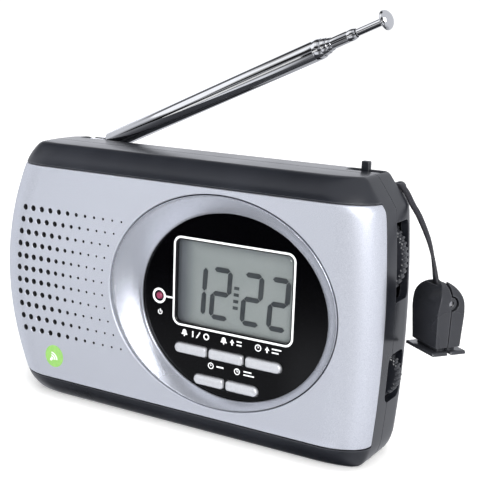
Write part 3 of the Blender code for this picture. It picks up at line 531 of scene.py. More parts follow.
def pipe(name, at, axis, outer, inner, h0, h1, count):
    profile = [(inner, h0), (outer, h0), (outer, h1), (inner, h1)]
    return lathe(name, profile, at, axis, count, closed=True)


def stack(name, outline, stations):
    """Loft of outline(grow) over stations of (y, grow)."""
    return loft(name, [[(x, y, z) for x, z in outline(grow)] for y, grow in stations])


def prism(name, outline, y0, y1):
    return loft(name, [[(x, y, z) for x, z in outline] for y in (y0, y1)])


def prism_x(name, outline, x0, x1):
    return loft(name, [[(x, y, z) for y, z in outline] for x in (x0, x1)])


def oval(centre, radii, count, grow=0.0):
    return [(centre[0] + (radii[0] + grow) * cos(2 * pi * i / count),
             centre[1] + (radii[1] + grow) * sin(2 * pi * i / count)) for i in range(count)]


def circle(x, z, r, count):
    return oval((x, z), (r, r), count)


def rounded_rect(x0, x1, z0, z1, r, steps=8):
    points = []
    for x, z, start in ((x1 - r, z1 - r, 0), (x0 + r, z1 - r, 90),
                        (x0 + r, z0 + r, 180), (x1 - r, z0 + r, 270)):
        for i in range(steps + 1):
            a = radians(start + 90 * i / steps)
            points.append((x + r * cos(a), z + r * sin(a)))
    return points


def islands(name, loops, y0, y1):
    """Separate flat shapes of one depth as one piece. A tuple (outer, inner) is a ring."""
    points, faces = [], []
    for loop in loops:
        k = len(points)
        ring = isinstance(loop, tuple)
        flat = loop[0] + loop[1] if ring else loop
        n = len(loop[0]) if ring else len(loop)
        for y in (y0, y1):
            points += [(x, y, z) for x, z in flat]
        if ring:
            for i in range(n):
                j = (i + 1) % n
                out0, out1, in0, in1 = k + i, k + j, k + n + i, k + n + j
                far_out0, far_out1, far_in0, far_in1 = (v + 2 * n for v in (out0, out1, in0, in1))
                faces += [(out0, out1, in1, in0), (far_out0, far_in0, far_in1, far_out1),
                          (out0, far_out0, far_out1, out1), (in0, in1, far_in1, far_in0)]
        else:
            faces += [tuple(range(k, k + n)), tuple(range(k + 2 * n - 1, k + n - 1, -1))]
            faces += [(k + i, k + n + i, k + n + (i + 1) % n, k + (i + 1) % n)
                      for i in range(n)]
    return solid(name, points, faces, weld=False)


# ================================================================ the body's curves
def edge_x(z, side):
    """Half width of the front panel on one side (+1 right, -1 left)."""
    t = (z - BODY_H / 2) / PANEL_HALF_H
    return PANEL_HALF_W - (BOW_RIGHT if side > 0 else BOW_LEFT) * t * t


def quarter_round(z, width, height):
    """Inset of an elliptical corner at the top and bottom of the body."""
    u = (abs(z - BODY_H / 2) - (BODY_H / 2 - height)) / height
    return 0.0 if u <= 0 else width * (1 - sqrt(max(0.0, 1 - min(u, 1.0) ** 2)))


def corner(z, side):
    if side > 0 and z > BODY_H / 2:
        # the top right corner leans in gradually
        above = z - 67.0
        return 0.3 * (above + sqrt(above * above + 0.5))
    return quarter_round(z, *((3.5, 6.5) if side > 0 else (2.0, 5.0)))


def front_y(z):
    """Front of the case, which falls back above and below the panel."""
    top, low = PANEL_Z1 + GAP, PANEL_Z0 - GAP
    u = (z - top) / (BODY_H - top) if z > top else (low - z) / low if z < low else 0.0
    return FRONT_Y + 0.2 + 4.4 * u ** 1.6


def plan(z, front, end_in, side_in, rear_in, step=5):
    """Outline of the body at height z, with separate insets for its parts."""
    points = []
    for side in (1, -1):
        half = []
        base = edge_x(z, side) - corner(z, side)
        end_x = base - end_in
        side_x = base + (BULGE_RIGHT if side > 0 else BULGE_LEFT) - side_in
        roll = END_RX - end_in
        for i in range(90 // step + 1):
            a = radians(90 - step * i)
            half.append((end_x - roll + roll * cos(a), END_Y - (END_Y - front) * sin(a)))
        for y in (-6.5, -5.6, -4.6, -3.4, -2.0, -0.4, 1.5, 5.0):
            s = (y - END_Y) / (1.5 - END_Y)
            swell = 1.0 if s >= 1 else 1 - (1 - s) ** 2
            half.append((end_x + (side_x - end_x) * swell, y))
        rear_rx = 9.0 - rear_in / 2
        rear_ry = REAR_Y - quarter_round(z, 3.5, 3.5) - rear_in - 5.0
        for i in range(1, 90 // step + 1):
            a = radians(step * i)
            half.append((side_x - rear_rx + rear_rx * cos(a), 5.0 + rear_ry * sin(a)))
        points += [(side * x, y, z) for x, y in (half if side > 0 else half[::-1])]
    return points


def rim_round(z):
    """Rolls the last of the outline in, so that the top and bottom edges are rounded."""
    past = max(0.0, RIM_R - min(z, BODY_H - z))
    return RIM_R - sqrt(max(0.0, RIM_R * RIM_R - past * past))


# heights of the outlines that make the body and its hollow
BODY_STATIONS = [
    0, 0.04, 0.14, 0.30, 0.52, 0.9, 1.4, 2.0, 2.8, 3.7, 4.8, 6.1, 8, 10, 12.5, 15, 18, 22, 26,
    30, 34, 37.5, 41, 45, 49, 53, 57, 60, 63, 65, 66.2, 67, 67.8, 69.0, 70.2, 71.2, 72.1, 72.9,
    73.5, 74.1, 74.48, 74.70, 74.86, 74.96, 75]
CAVITY_STATIONS = [
    WALL, 2.4, 3.5, 5, 6.1, 9, 12, 17, 22, 29, 37.5, 46, 53, 58, 63, 66, 69.0, 70.5, 71.8, 72.8,
    BODY_H - WALL]
# heights between the rounded ends of the front panel
PANEL_STATIONS = [9, 12, 15, 18, 22, 26, 30, 34, 37.5, 41, 45, 49, 53, 57, 60, 63, 65.4, 66.4,
                  67.2, 67.8]


def body_shell(name, inset=0.0):
    rings = []
    for z in BODY_STATIONS:
        depth = rim_round(z) + inset
        level = max(inset, min(BODY_H - inset, z))
        if not rings or level > rings[-1][0][2] + 1e-4:
            rings.append(plan(level, front_y(z) + depth, depth, depth, depth))
    return loft(name, rings)


def body_cavity(name):
    hollow = loft(name, [plan(z, max(front_y(z) + WALL, PLATE_Y1), 3.0, 2.0, WALL, 10)
                         for z in CAVITY_STATIONS])
    return cut(hollow, box("step", (-80, 80), (GROOVE_Y - WALL, 20), (GROOVE_Z - WALL, 90)))


def panel_ring(z, grow, thick, tail=0.0, face_in=0.0):
    """Section of the panel at height z: its face, then its back; `tail` lengthens both."""
    step = 3
    faces = []
    for inset in (-grow + face_in, thick):
        line = []
        for side in (-1, 1):
            half_w = edge_x(z, side) - (corner(z, side) if z > BODY_H / 2 else 0.0) - inset
            roll, front = END_RX - inset, FRONT_Y + inset
            arc = [(side * (half_w - roll + roll * cos(a)), END_Y - (END_Y - front) * sin(a), z)
                   for a in (radians(step * i) for i in range(90 // step + 1))]
            if tail:
                arc.insert(0, (side * half_w, END_Y + tail, z))
            line += arc if side < 0 else arc[::-1]
        faces.append(line)
    return faces[0] + faces[1][::-1]


# ================================================================ front panel
GRILLE_ROWS, GRILLE_TOP, GRILLE_PITCH = 11, 56.2, 3.626
# hole radius in each column, from the left end towards the dial
GRILLE_R = (0.82, 0.80, 0.78, 0.75, 0.72, 0.62, 0.52, 0.43, 0.37, 0.33, 0.30, 0.28)


def grille_holes():
    """(x, z, radius) of each hole; the columns follow the panel's end and the dial ring."""
    holes = []
    for row in range(GRILLE_ROWS):
        z = GRILLE_TOP - GRILLE_PITCH * row
        left = -(edge_x(z, -1) - 8.7)
        t = (z - RING_C[1]) / (RING_R[1] + 2.6)
        right = 0.0
        if abs(t) < 1:
            right = RING_C[0] - (RING_R[0] + 2.9) * sqrt(max(0.0, 1 - t * t))
        for col, r in enumerate(GRILLE_R):
            holes.append((left + (right - left) * col / 11, z, r))
    return holes


def grille_cutter(count=18):
    points, faces = [], []
    for x, z, r in grille_holes():
        lip = 0.09 * r / 0.66 + 0.02
        # where the rolled end falls back, the hole's flare follows the surface
        u = min(0.999, max(0.0, (-x - (edge_x(z, -1) - END_RX)) / END_RX))
        face_y = END_Y - END_RY * sqrt(1 - u * u)
        rows = []
        for y, radius in ((face_y - 1.2, r + lip * 3.2), (face_y + 0.03, r + lip),
                          (face_y + 0.12, r + lip * 0.35), (face_y + 0.26, r),
                          (FRONT_Y + 6.0, r)):
            rows.append(range(len(points), len(points) + count))
            for i in range(count):
                a = 2 * pi * i / count
                points.append((x + radius * cos(a), y, z + radius * sin(a)))
        faces += strip_faces(rows) + [tuple(reversed(rows[0])), tuple(rows[-1])]
    return solid("grille", points, faces, weld=False)


# rounded rim of the panel: distance from the end, inset of the face
PANEL_RIM = [(0.0, 0.38), (0.04, 0.22), (0.12, 0.10), (0.24, 0.03), (0.38, 0.0)]
rings = [panel_ring(PANEL_Z0 + dz, 0, PANEL_T, face_in=inset) for dz, inset in PANEL_RIM]
rings += [panel_ring(z, 0, PANEL_T) for z in PANEL_STATIONS]
rings += [panel_ring(PANEL_Z1 - dz, 0, PANEL_T, face_in=inset)
          for dz, inset in reversed(PANEL_RIM)]
panel = loft("front_panel_shell", rings)
cut(panel, stack("opening", lambda grow: oval(RING_C, RING_R, 144, grow),
                 ((FRONT_Y - 1, 0.5), (FRONT_Y, 0.28), (FRONT_Y + 0.14, 0.1),
                  (FRONT_Y + 0.34, 0.0), (FRONT_Y + 4, 0.0))))
cut(panel, grille_cutter())
place(tidy(panel, 1e-6), "silver", "root", "front_panel", sharp=24)
# the walls inside the holes, past the silver lip, are coloured near black: painted shade that
# darkens the holes
panel.data.materials.append(MATS["hole_shade"])
holes = grille_holes()
for poly in panel.data.polygons:
    x, z = poly.center[0] / MM, poly.center[2] / MM
    if abs(poly.normal[1]) < 0.35 and -55 < x < -12 and 18 < z < 58:
        if any((x - hx) ** 2 + (z - hz) ** 2 < (r * 1.03) ** 2 for hx, hz, r in holes):
            poly.material_index = 1

# disc of woven cloth behind the grille
cloth = [(0, -13.52), (17.6, -13.52), (17.8, -13.56), (17.6, -13.60), (0, -13.60)]
place(lathe("grille_cloth", cloth, (SPEAKER_C[0], 0, SPEAKER_C[1]), AXIS_Y, 64),
      "cloth", "root")


# ================================================================ dial ring and dial
def dial_ring(count=160):
    """Bezel between the dial (share 0) and the panel opening (share 1)."""
    profile = [(1.0, -14.62), (0.996, -14.82), (0.985, -14.94), (0.965, -15.0), (0.93, -15.0)]
    for k in range(1, 11):
        s = k / 11
        # a shallow dish with a cubic term in its fall towards the dial
        profile.append((0.93 * (1 - s) + 0.03 * s, -15.0 + 1.8 * (0.72 * s + 0.28 * s ** 3)))
    profile += [(0.018, -13.20), (0.004, -13.10), (0.0, -12.98),
                (0.0, -12.6), (0.25, -12.6), (0.45, -13.7), (1.0, -13.7)]
    rings = []
    for outer, inner in zip(oval(RING_C, RING_R, count, -GAP), oval(DIAL_C, DIAL_R, count)):
        line = [(Vector(inner).lerp(Vector(outer), share), y) for share, y in profile]
        rings.append([(point.x, y, point.y) for point, y in line])
    return loft("dial_ring_bezel", rings, closed=True)


place(dial_ring(), "ring", "root", "dial_ring", sharp=40)


def pill(x0, x1, z, round_left, round_right, grow, count=9):
    """Button outline; an end that is not fully round has small corner radii."""
    half = BUTTON_H / 2 + grow
    points = []
    # end x, side, fully round, corners as (up or down, quarter turns at the start)
    for x, side, full, corners in ((x1 + grow, 1, round_right, ((-1, -1), (1, 0))),
                                   (x0 - grow, -1, round_left, ((1, 1), (-1, 2)))):
        r = half if full else min(0.7, half * 0.8)
        for up, quarter in corners:
            for i in range(count):
                a = pi / 2 * i / (count - 1) + quarter * (pi / 2)
                points.append((x - side * r + r * cos(a), z + up * (half - r) + r * sin(a)))
    return points


def lcd_rect(inset, r, steps=8):
    return rounded_rect(LCD_X[0] + inset, LCD_X[1] - inset,
                        LCD_Z[0] + inset, LCD_Z[1] - inset, r, steps)


plate = stack("dial_plate_gloss", lambda grow: oval(DIAL_C, DIAL_R, 128, grow),
              ((DIAL_Y0, 0.9), (DIAL_Y0 + 0.1, 1.0), (DIAL_Y1, 1.0)))
cut(plate, stack("display_hole", lambda grow: lcd_rect(0.9 - grow, 1.6 + grow),
                 ((DIAL_Y0 - 1, 0.35), (DIAL_Y0, 0.12), (DIAL_Y0 + 0.15, 0), (DIAL_Y1 + 1, 0))))
cut(plate, rod("indicator_hole", (INDICATOR[0], 0, INDICATOR[1]), AXIS_Y, 1.25,
               DIAL_Y0 - 1, DIAL_Y1 + 1))
for shape in BUTTONS.values():
    cut(plate, stack("button_hole", lambda grow: pill(*shape, grow),
                     ((DIAL_Y0 - 1, 0.5), (DIAL_Y0, 0.30), (DIAL_Y0 + 0.14, 0.2),
                      (DIAL_Y1 + 1, 0.2))))
place(tidy(plate), "dial", "root", "dial_plate", sharp=30)

window = stack("display_window_lens", lambda grow: lcd_rect(1.2 + grow, 1.3),
               ((DIAL_Y0, 0.15), (DIAL_Y0 + 0.15, 0.0), (DIAL_Y1, 0.0)))
place(window, "window", "root", "display_window")

# a flange behind the plate, then a cap with a rounded front: y, outline growth
CAP_STATIONS = ((-10.55, 0.32), (-10.95, 0.32), (-10.95, -0.05), (-12.45, -0.05),
                (-12.68, -0.10), (-12.86, -0.22), (-12.98, -0.40), (-13.07, -0.64),
                (-13.12, -0.90), (-13.15, -1.15), (-13.15, -1.3))
for name, shape in BUTTONS.items():
    cap = stack(name + "_cap", lambda grow: pill(*shape, grow), CAP_STATIONS)
    place(cap, "button", name, name, sharp=38)

lens = [(0, -12.78), (0.3, -12.76), (0.6, -12.68), (0.85, -12.5), (0.97, -12.3), (1.0, -12.1),
        (1.0, -8.9), (0, -8.9)]
place(lathe("indicator_lens", lens, (INDICATOR[0], 0, INDICATOR[1]), AXIS_Y, 32),
      "red", "root", "alarm_indicator")


# ---- printing on the dial
def ring_loop(x, z, outer, inner, count=28):
    return (circle(x, z, outer, count), circle(x, z, inner, count))


def bar(x0, z0, x1, z1, width):
    along = Vector((x1 - x0, z1 - z0)).normalized()
    off = Vector((-along.y, along.x)) * (width / 2)
    return [(x0 + off.x, z0 + off.y), (x1 + off.x, z1 + off.y),
            (x1 - off.x, z1 - off.y), (x0 - off.x, z0 - off.y)]


def dash(x0, x1, z, width=0.36):
    return bar(x0, z, x1, z, width)


def arc_band(x, z, outer, inner, start, sweep, steps):
    """Part of a ring; angles in degrees."""
    turns = [radians(start + sweep * i / steps) for i in range(steps + 1)]
    return ([(x + outer * cos(a), z + outer * sin(a)) for a in turns]
            + [(x + inner * cos(a), z + inner * sin(a)) for a in turns[::-1]])


BELL = [(-0.62, -0.45), (0.62, -0.45), (0.62, -0.30), (0.44, -0.12), (0.40, 0.22),
        (0.26, 0.46), (0.0, 0.56), (-0.26, 0.46), (-0.40, 0.22), (-0.44, -0.12),
        (-0.62, -0.30)]


def bell(x, z, size):
    return [[(x + bx * size, z + bz * size) for bx, bz in BELL],
            circle(x, z - 0.62 * size, 0.14 * size, 12)]


def clock_face(x, z, size, short):
    """A clock; `short` has a shorter upright hand and the other hand raised."""
    reach, rise, turn = (0.34, 0.30, radians(60)) if short else (0.46, 0.44, 0.0)
    return [ring_loop(x, z, 0.64 * size, 0.47 * size),
            bar(x, z - 0.07 * size, x, z + rise * size, 0.15 * size),
            bar(x, z, x + reach * size * cos(turn) * 0.8,
                z + reach * size * sin(turn) * 0.5, 0.15 * size)]


def up_arrow(x, z, size):
    head = [(x - 0.45 * size, z - 0.1 * size), (x + 0.45 * size, z - 0.1 * size),
            (x, z + 0.55 * size)]
    return [head, bar(x, z - 0.55 * size, x, z - 0.1 * size, 0.28 * size)]


# heights of the symbols over the upper and the lower row of buttons
UPPER, LOWER = 27.85, 20.1
loops = [(lcd_rect(0.0, 2.4, 10), lcd_rect(0.55, 1.9, 10)),
         ring_loop(*INDICATOR, 2.15, 1.55, 40),
         dash(INDICATOR[0] + 2.1, LCD_X[0] + 0.1, 36.9, 0.45)]
# power symbol under the indicator
loops += [arc_band(-3.2, 32.3, 0.72, 0.50, start=130, sweep=280, steps=20),
          bar(-3.2, 32.3, -3.2, 33.2, 0.24)]
loops += bell(4.9, UPPER + 0.1, 1.5)
loops += [bar(7.6, UPPER - 0.85, 7.6, UPPER + 0.85, 0.42),
          bar(8.8, UPPER - 0.85, 9.9, UPPER + 0.85, 0.36), ring_loop(11.9, UPPER, 0.92, 0.56)]
loops += bell(17.4, UPPER + 0.1, 1.5) + up_arrow(20.0, UPPER, 1.5)
loops += [dash(21.4, 22.9, UPPER + 0.5), dash(21.4, 22.9, UPPER - 0.45)]
loops += clock_face(27.9, UPPER, 1.5, short=True) + up_arrow(30.6, UPPER, 1.5)
loops += [dash(32.0, 34.8, UPPER + 0.5), dash(32.0, 34.0, UPPER - 0.45)]
loops += clock_face(13.6, LOWER, 1.4, short=True) + [dash(15.4, 17.6, LOWER + 0.1, 0.4)]
loops += clock_face(21.8, LOWER, 1.4, short=False)
loops += [dash(23.8, 27.0, LOWER - 0.45), dash(23.8, 26.2, LOWER + 0.45)]
place(islands("dial_print", loops, DIAL_Y0 - 0.03, DIAL_Y0 + 0.01),
      "print", "root")

# ---- liquid crystal digits
DIGIT_Z0, DIGIT_Z1 = 32.7, 47.2
DIGITS = ((5.0, 10.7, "bc"), (12.0, 18.4, "abged"), (21.6, 27.9, "abged"),
          (29.6, 35.8, "abged"))            # left, right, lit segments


def segments(x0, x1, lit, width=1.35):
    """Seven-segment digit as separate bars with mitred ends; lit is a string of a to g."""
    gap, half = 0.12, width / 2
    z0, z1 = DIGIT_Z0, DIGIT_Z1
    middle = (z0 + z1) / 2

    def level(z):
        return [(x0 + half + gap, z), (x0 + width + gap, z + half),
                (x1 - width - gap, z + half), (x1 - half - gap, z),
                (x1 - width - gap, z - half), (x0 + width + gap, z - half)]

    def upright(x, low, high):
        return [(x, low + gap), (x + half, low + half + gap), (x + half, high - half - gap),
                (x, high - gap), (x - half, high - half - gap), (x - half, low + half + gap)]

    shapes = {"a": level(z1 - half), "g": level(middle), "d": level(z0 + half),
              "b": upright(x1 - half, middle, z1 - half),
              "c": upright(x1 - half, z0 + half, middle),
              "f": upright(x0 + half, middle, z1 - half),
              "e": upright(x0 + half, z0 + half, middle)}
    return [shapes[letter] for letter in lit]


digits = [loop for digit in DIGITS for loop in segments(*digit)]
# a column of four short marks between the second and third digits
for z in (36.9, 38.7, 40.5, 42.3):
    digits.append([(19.2, z - 0.42), (20.7, z - 0.42), (20.7, z + 0.42), (19.2, z + 0.42)])
# the digits lean a little to the right
digits = [[(x + (z - 40.0) * 0.052, z) for x, z in loop] for loop in digits]
place(islands("display_digits", digits, -11.0, -10.93), "segment", "root")

# badge: a round printed spot with three arcs
BADGE_X, BADGE_Z = -38.6, 13.2
spot = [circle(BADGE_X, BADGE_Z, 3.3, 56)]
place(islands("badge_spot", spot, FRONT_Y - 0.035, FRONT_Y + 0.02),
      "green_print", "root")
arcs = [arc_band(BADGE_X - 1.2, BADGE_Z - 1.2, r, r - 0.36, start=5, sweep=80, steps=12)
        for r in (0.9, 1.65, 2.4)]
arcs.append(circle(BADGE_X - 1.15, BADGE_Z - 1.15, 0.38, 20))
place(islands("badge_arcs", arcs, FRONT_Y - 0.06, FRONT_Y - 0.02),
      "print", "root")

# ================================================================ case
# openings through the right wall: y range, z range, corner radius
SIDE_SLOTS = {
    "tuning_slot": (-9.0, 6.6, 43.1, 63.5, 1.8),
    "volume_slot": (-9.0, 6.6, 16.5, 29.6, 2.6),
    "volume_notch": (-3.2, 12.0, 16.5, 29.6, 2.6),
}


def side_slot(name):
    return prism_x(name, rounded_rect(*SIDE_SLOTS[name]), 57.2, 75.0)


def volume_scoop(count=32):
    """Ellipsoid cutter for the finger recess at the volume wheel."""
    centre, radii = (64.6, 1.6, 23.0), (3.6, 8.2, 9.4)
    points, rows = [], []
    for i in range(count // 2 + 1):
        t = pi * i / (count // 2)
        z = centre[2] + radii[2] * cos(t)
        if i in (0, count // 2):
            rows.append([len(points)] * count)
            points.append((centre[0], centre[1], z))
        else:
            rows.append(range(len(points), len(points) + count))
            points += [(centre[0] + radii[0] * sin(t) * cos(2 * pi * k / count),
                        centre[1] + radii[1] * sin(t) * sin(2 * pi * k / count), z)
                       for k in range(count)]
    return solid("volume_scoop", points, strip_faces(rows))


def jack_hole():
    return rod("jack_hole", (0, 3.0, 46.0), AXIS_X, 3.05, -80, -50)


case = body_shell("case_front_shell")
combine(case, box("half", (-90, 90), (-40, SEAM_Y - GAP / 2), (-10, 90)), "INTERSECT")
cut(case, body_cavity("hollow"))
for x, z in SCREWS:
    fuse(case, rod("boss", (x, 0, z), AXIS_Y, 3.0, -12.6, SEAM_Y - GAP / 2, 24))
cut(case, loft("rebate", [panel_ring(z, 3.0, PANEL_T + GAP, GAP)
                          for z in [PANEL_Z0 - GAP, *PANEL_STATIONS, PANEL_Z1 + GAP]]))
cut(case, prism("dial_opening", oval((17.7, 37.5), (32.6, 27.5), 96), -16, -10))
cut(case, rod("speaker_opening", (SPEAKER_C[0], 0, SPEAKER_C[1]), AXIS_Y, 14.2, -16, -10, 48))
for x, z in SCREWS:
    cut(case, rod("pilot", (x, 0, z), AXIS_Y, 1.0, -9.5, 2, 16))
cut(case, side_slot("volume_notch"), volume_scoop())
place(tidy(case), "black", "root", "case_front", sharp=30)

# stepped screw well that flares at the rear face: radius, y
SCREW_WELL = [(0, -4), (1.5, -4), (1.5, 7.5), (2.8, 7.5), (2.8, 14.6), (3.3, 15.1),
              (4.3, 16.1), (0, 16.1)]
rear = body_shell("case_rear_shell")
combine(rear, box("half", (-90, 90), (SEAM_Y + GAP / 2, 40), (-10, 90)), "INTERSECT")
cut(rear, body_cavity("hollow"))
fuse(rear, box("tray", (TRAY_X[0] - 1.2, TRAY_X[1] + 1.2), (-2.2, 14.0),
               (TRAY_Z[0] - 1.2, TRAY_Z[1] + 1.2)))
for x, z in SCREWS:
    fuse(rear, rod("post", (x, 0, z), AXIS_Y, 3.0, SEAM_Y + GAP / 2, 14.0, 24))
cut(rear, box("battery_well", TRAY_X, (-1.2, 20), TRAY_Z))
for x, z in SCREWS:
    cut(rear, lathe("screw_well", SCREW_WELL, (x, 0, z), AXIS_Y, 32))
cut(rear, bevel(box("groove", (GROOVE_X0, 80), (GROOVE_Y, 30), (GROOVE_Z, 90)), 0.6))
# lug that holds the strap pin
lug = [(53.3, 67.6), (55.5, 67.6)]
lug += [(STRAP_PIN.x + 1.57 * cos(a), STRAP_PIN.z + 1.57 * sin(a))
        for a in (radians(-50 + 280 * i / 30) for i in range(31))]
fuse(rear, bevel(prism("lug", lug, 11.0, 12.8), 0.25, 2, 50))
cut(rear, rod("strap_hole", STRAP_PIN, AXIS_Y, 0.9, -4.0, 20, 20))
cut(rear, rod("swivel_hole", (ANT_PIVOT.x, ANT_PIVOT.y, 0), AXIS_Z, 2.1, 60, 75))
cut(rear, side_slot("tuning_slot"), side_slot("volume_slot"), volume_scoop())
cut(rear, bevel(box("lever_slot", (44.6, 52.4), (2.4, 4.7), (70, 80)), 0.5))
# shallow channel that frames the switch's travel
cut(rear, bevel(box("lever_tray", (43.6, 53.4), (1.5, 5.5), (74.6, 80)), 0.35, 2))
cut(rear, jack_hole())
place(tidy(rear), "black", "root", "case_rear", sharp=30)

# the locating lip that bridges the parting line inside the walls
lip_band = cut(body_shell("case_lip", 0.7), body_shell("inside", 1.3))
combine(lip_band, box("band", (-90, 90), (-2.6, 0.2), (-10, 90)), "INTERSECT")
cut(lip_band, *[side_slot(name) for name in SIDE_SLOTS], volume_scoop(), jack_hole())
place(tidy(lip_band), "black", "root", sharp=30)

# battery door with a thumb grip and a moulded arrow; outline in (y, z)
DOOR_TOP = TRAY_Z[1] - GAP
door_outline = [(13.95, 4.3), (13.6, 4.65), (13.6, DOOR_TOP), (14.75, DOOR_TOP),
                (14.92, DOOR_TOP - 0.08), (REAR_Y, TRAY_Z[1] - 0.6), (REAR_Y, 4.65),
                (14.9, 4.42), (14.65, 4.3)]
door = prism_x("battery_door_cover", door_outline, TRAY_X[0] + GAP, TRAY_X[1] - GAP)
for k in range(6):
    grip = rounded_rect(-21.5, -7.0, 24.6 + 1.3 * k, 25.25 + 1.3 * k, 0.3, 4)
    cut(door, prism("grip", grip, 14.55, 16))
cut(door, prism("arrow", [(-16.6, 23.0), (-11.9, 23.0), (-14.25, 20.4)], 14.6, 16))
place(tidy(door), "black", "battery_door", "battery_door", sharp=30)

# pointed shank and domed head with a cross slot: radius, y
SCREW = [(0, -8.6), (0.5, -8.0), (0.9, -7.0), (0.9, 7.8), (2.5, 7.8), (2.5, 8.5),
         (2.42, 8.75), (2.2, 9.0), (1.7, 9.3), (1.0, 9.45), (0, 9.5)]
for k, (x, z) in enumerate(SCREWS):
    screw = lathe(f"case_screw_head_{k + 1}", SCREW, (x, 0, z), AXIS_Y, 32)
    for dx, dz in ((1.45, 0.3), (0.3, 1.45)):
        cut(screw, box("slot", (x - dx, x + dx), (8.5, 12), (z - dz, z + dz)))
    place(tidy(screw), "steel", "root", f"case_screw_{k + 1}", sharp=30)

# ================================================================ wheels and lever
# rounding of a wheel's rim: distance from its face, loss of radius
WHEEL_RIM = ((0.0, 0.55), (0.12, 0.28), (0.35, 0.08), (0.6, 0.0))


def thumbwheel(name, centre, radius, teeth, node):
    stations = [(WHEEL_Y0 + dy, loss) for dy, loss in WHEEL_RIM]
    stations += [(WHEEL_Y1 - dy, loss) for dy, loss in reversed(WHEEL_RIM)]
    rings = []
    for y, loss in stations:
        ring = []
        for i in range(teeth * 6):
            a = 2 * pi * i / (teeth * 6)
            wave = max(-0.75, min(0.75, cos(teeth * a) * 1.3)) / 0.75
            r = radius - loss - 0.24 * (1 - wave)
            ring.append((centre[0] + r * cos(a), y, centre[1] + r * sin(a)))
        rings.append(ring)
    wheel = loft(name, rings)
    middle = (centre[0], 0, centre[1])
    cut(wheel, rod("bore", middle, AXIS_Y, 2.03, -5, 10))
    cut(wheel, pipe("dish", middle, AXIS_Y, radius - 1.8, 3.4, WHEEL_Y1 - 0.8, WHEEL_Y1 + 2, 48))
    place(tidy(wheel), "wheel", node, node)


thumbwheel("tuning_wheel_knurled", TUNE_C, TUNE_R, 52, "tuning_thumbwheel")
thumbwheel("volume_wheel_knurled", VOLUME_C, VOLUME_R, 30, "volume_thumbwheel")

lever = bevel(box("band_lever_post", (47.4, 49.6), (2.7, 4.4), (73.0, 77.4)), 0.3)
place(lever, "wheel", "band_switch_lever", "band_switch_lever", sharp=40)

# ================================================================ whip antenna
# lathe profiles are radius, distance along the axis
SWIVEL = [(0, 65.6), (2.8, 65.6), (2.8, 66.75), (2.02, 66.75), (2.02, 69.0), (3.25, 69.0),
          (3.4, 69.15), (3.4, 73.9), (3.3, 74.3), (3.1, 74.6), (2.8, 74.78), (0, 74.8)]
HINGE_PIN = [(0, -3.1), (0.7, -3.1), (0.92, -2.95), (0.95, -2.8), (0.95, 2.8), (0.92, 2.95),
             (0.7, 3.1), (0, 3.1)]
HINGE_EYE = [(1.03, -1.0), (2.05, -1.0), (2.2, -0.93), (2.3, -0.75), (2.3, 0.75), (2.2, 0.93),
             (2.05, 1.0), (1.03, 1.0)]
TIP = [(0, 24), (1.0, 24), (1.0, 97.7), (1.15, 97.95), (1.6, 98.08), (2.1, 98.25),
       (2.48, 98.5), (2.67, 98.8), (2.7, 99.05), (2.64, 99.4), (2.4, 99.85), (2.0, 100.25),
       (1.4, 100.6), (0.7, 100.83), (0, 100.9)]
pivot_x, pivot_y, _ = ANT_PIVOT
swivel = lathe("antenna_swivel_head", SWIVEL, (pivot_x, pivot_y, 0), AXIS_Z, 40)
cut(swivel, box("fork", (pivot_x - 6, pivot_x + 6), (pivot_y - 1.15, pivot_y + 1.15),
                (69.5, 80)))
cut(swivel, rod("hole", ANT_PIVOT, AXIS_Y, 1.03, -6, 6, 24))
place(tidy(swivel), "chrome", "antenna_swivel", "antenna_swivel", sharp=30)
place(lathe("antenna_pin_riveted", HINGE_PIN, ANT_PIVOT, AXIS_Y, 24),
      "steel", "antenna_swivel", "antenna_hinge_pin", sharp=40)

eye = lathe("antenna_eye_end", HINGE_EYE, ANT_PIVOT, AXIS_Y, 40, closed=True)
neck = box("neck", (1.5, 6.0), (-0.95, 0.95), (-1.65, 1.65))
neck.data.transform(Matrix.Translation(ANT_PIVOT * MM) @ Matrix.Rotation(-ANT_RAISE, 4, "Y"))
fuse(eye, neck, rod("plug", ANT_PIVOT, ANT_DIR, 2.3, 5.0, 8.4))
place(tidy(eye), "chrome", "antenna_tube_1", "antenna_hinge_end")
for k, ((outer, inner), (start, end)) in enumerate(zip(ANT_RADII, ANT_SPANS)):
    # the end of each tube is rolled in towards the next; a fine groove marks the crimp
    profile = [(inner, start), (outer - 0.1, start), (outer, start + 0.15),
               (outer, end - 2.6), (outer - 0.07, end - 2.45), (outer - 0.07, end - 2.2),
               (outer, end - 2.05), (outer, end - 1.15), (outer - 0.04, end - 0.8),
               (outer * 0.6 + inner * 0.4, end - 0.35), (inner + 0.06, end),
               (inner, end - 0.02)]
    tube = f"antenna_tube_{k + 1}"
    place(lathe(tube + "_drawn", profile, ANT_PIVOT, ANT_DIR, closed=True),
          "chrome", tube, tube, sharp=50)
place(lathe("antenna_tip_button", TIP, ANT_PIVOT, ANT_DIR),
      "chrome", "antenna_tip_rod", "antenna_tip_rod", sharp=50)

# ================================================================ strap and clip
# centre line of the strap from the pin to the clip
STRAP_POINTS = [
    (55.5, 8.6, 71.4), (56.6, 8.5, 71.1), (58.1, 8.4, 69.5), (59.8, 8.2, 66.9),
    (62.0, 7.8, 64.1), (64.9, 7.0, 59.3), (66.6, 6.3, 55.5), (67.7, 5.7, 52.0),
    (68.5, 5.2, 49.1), (69.4, 5.0, 46.0)]
clip_axis = Vector((cos(CLIP_TURN), sin(CLIP_TURN), 0))


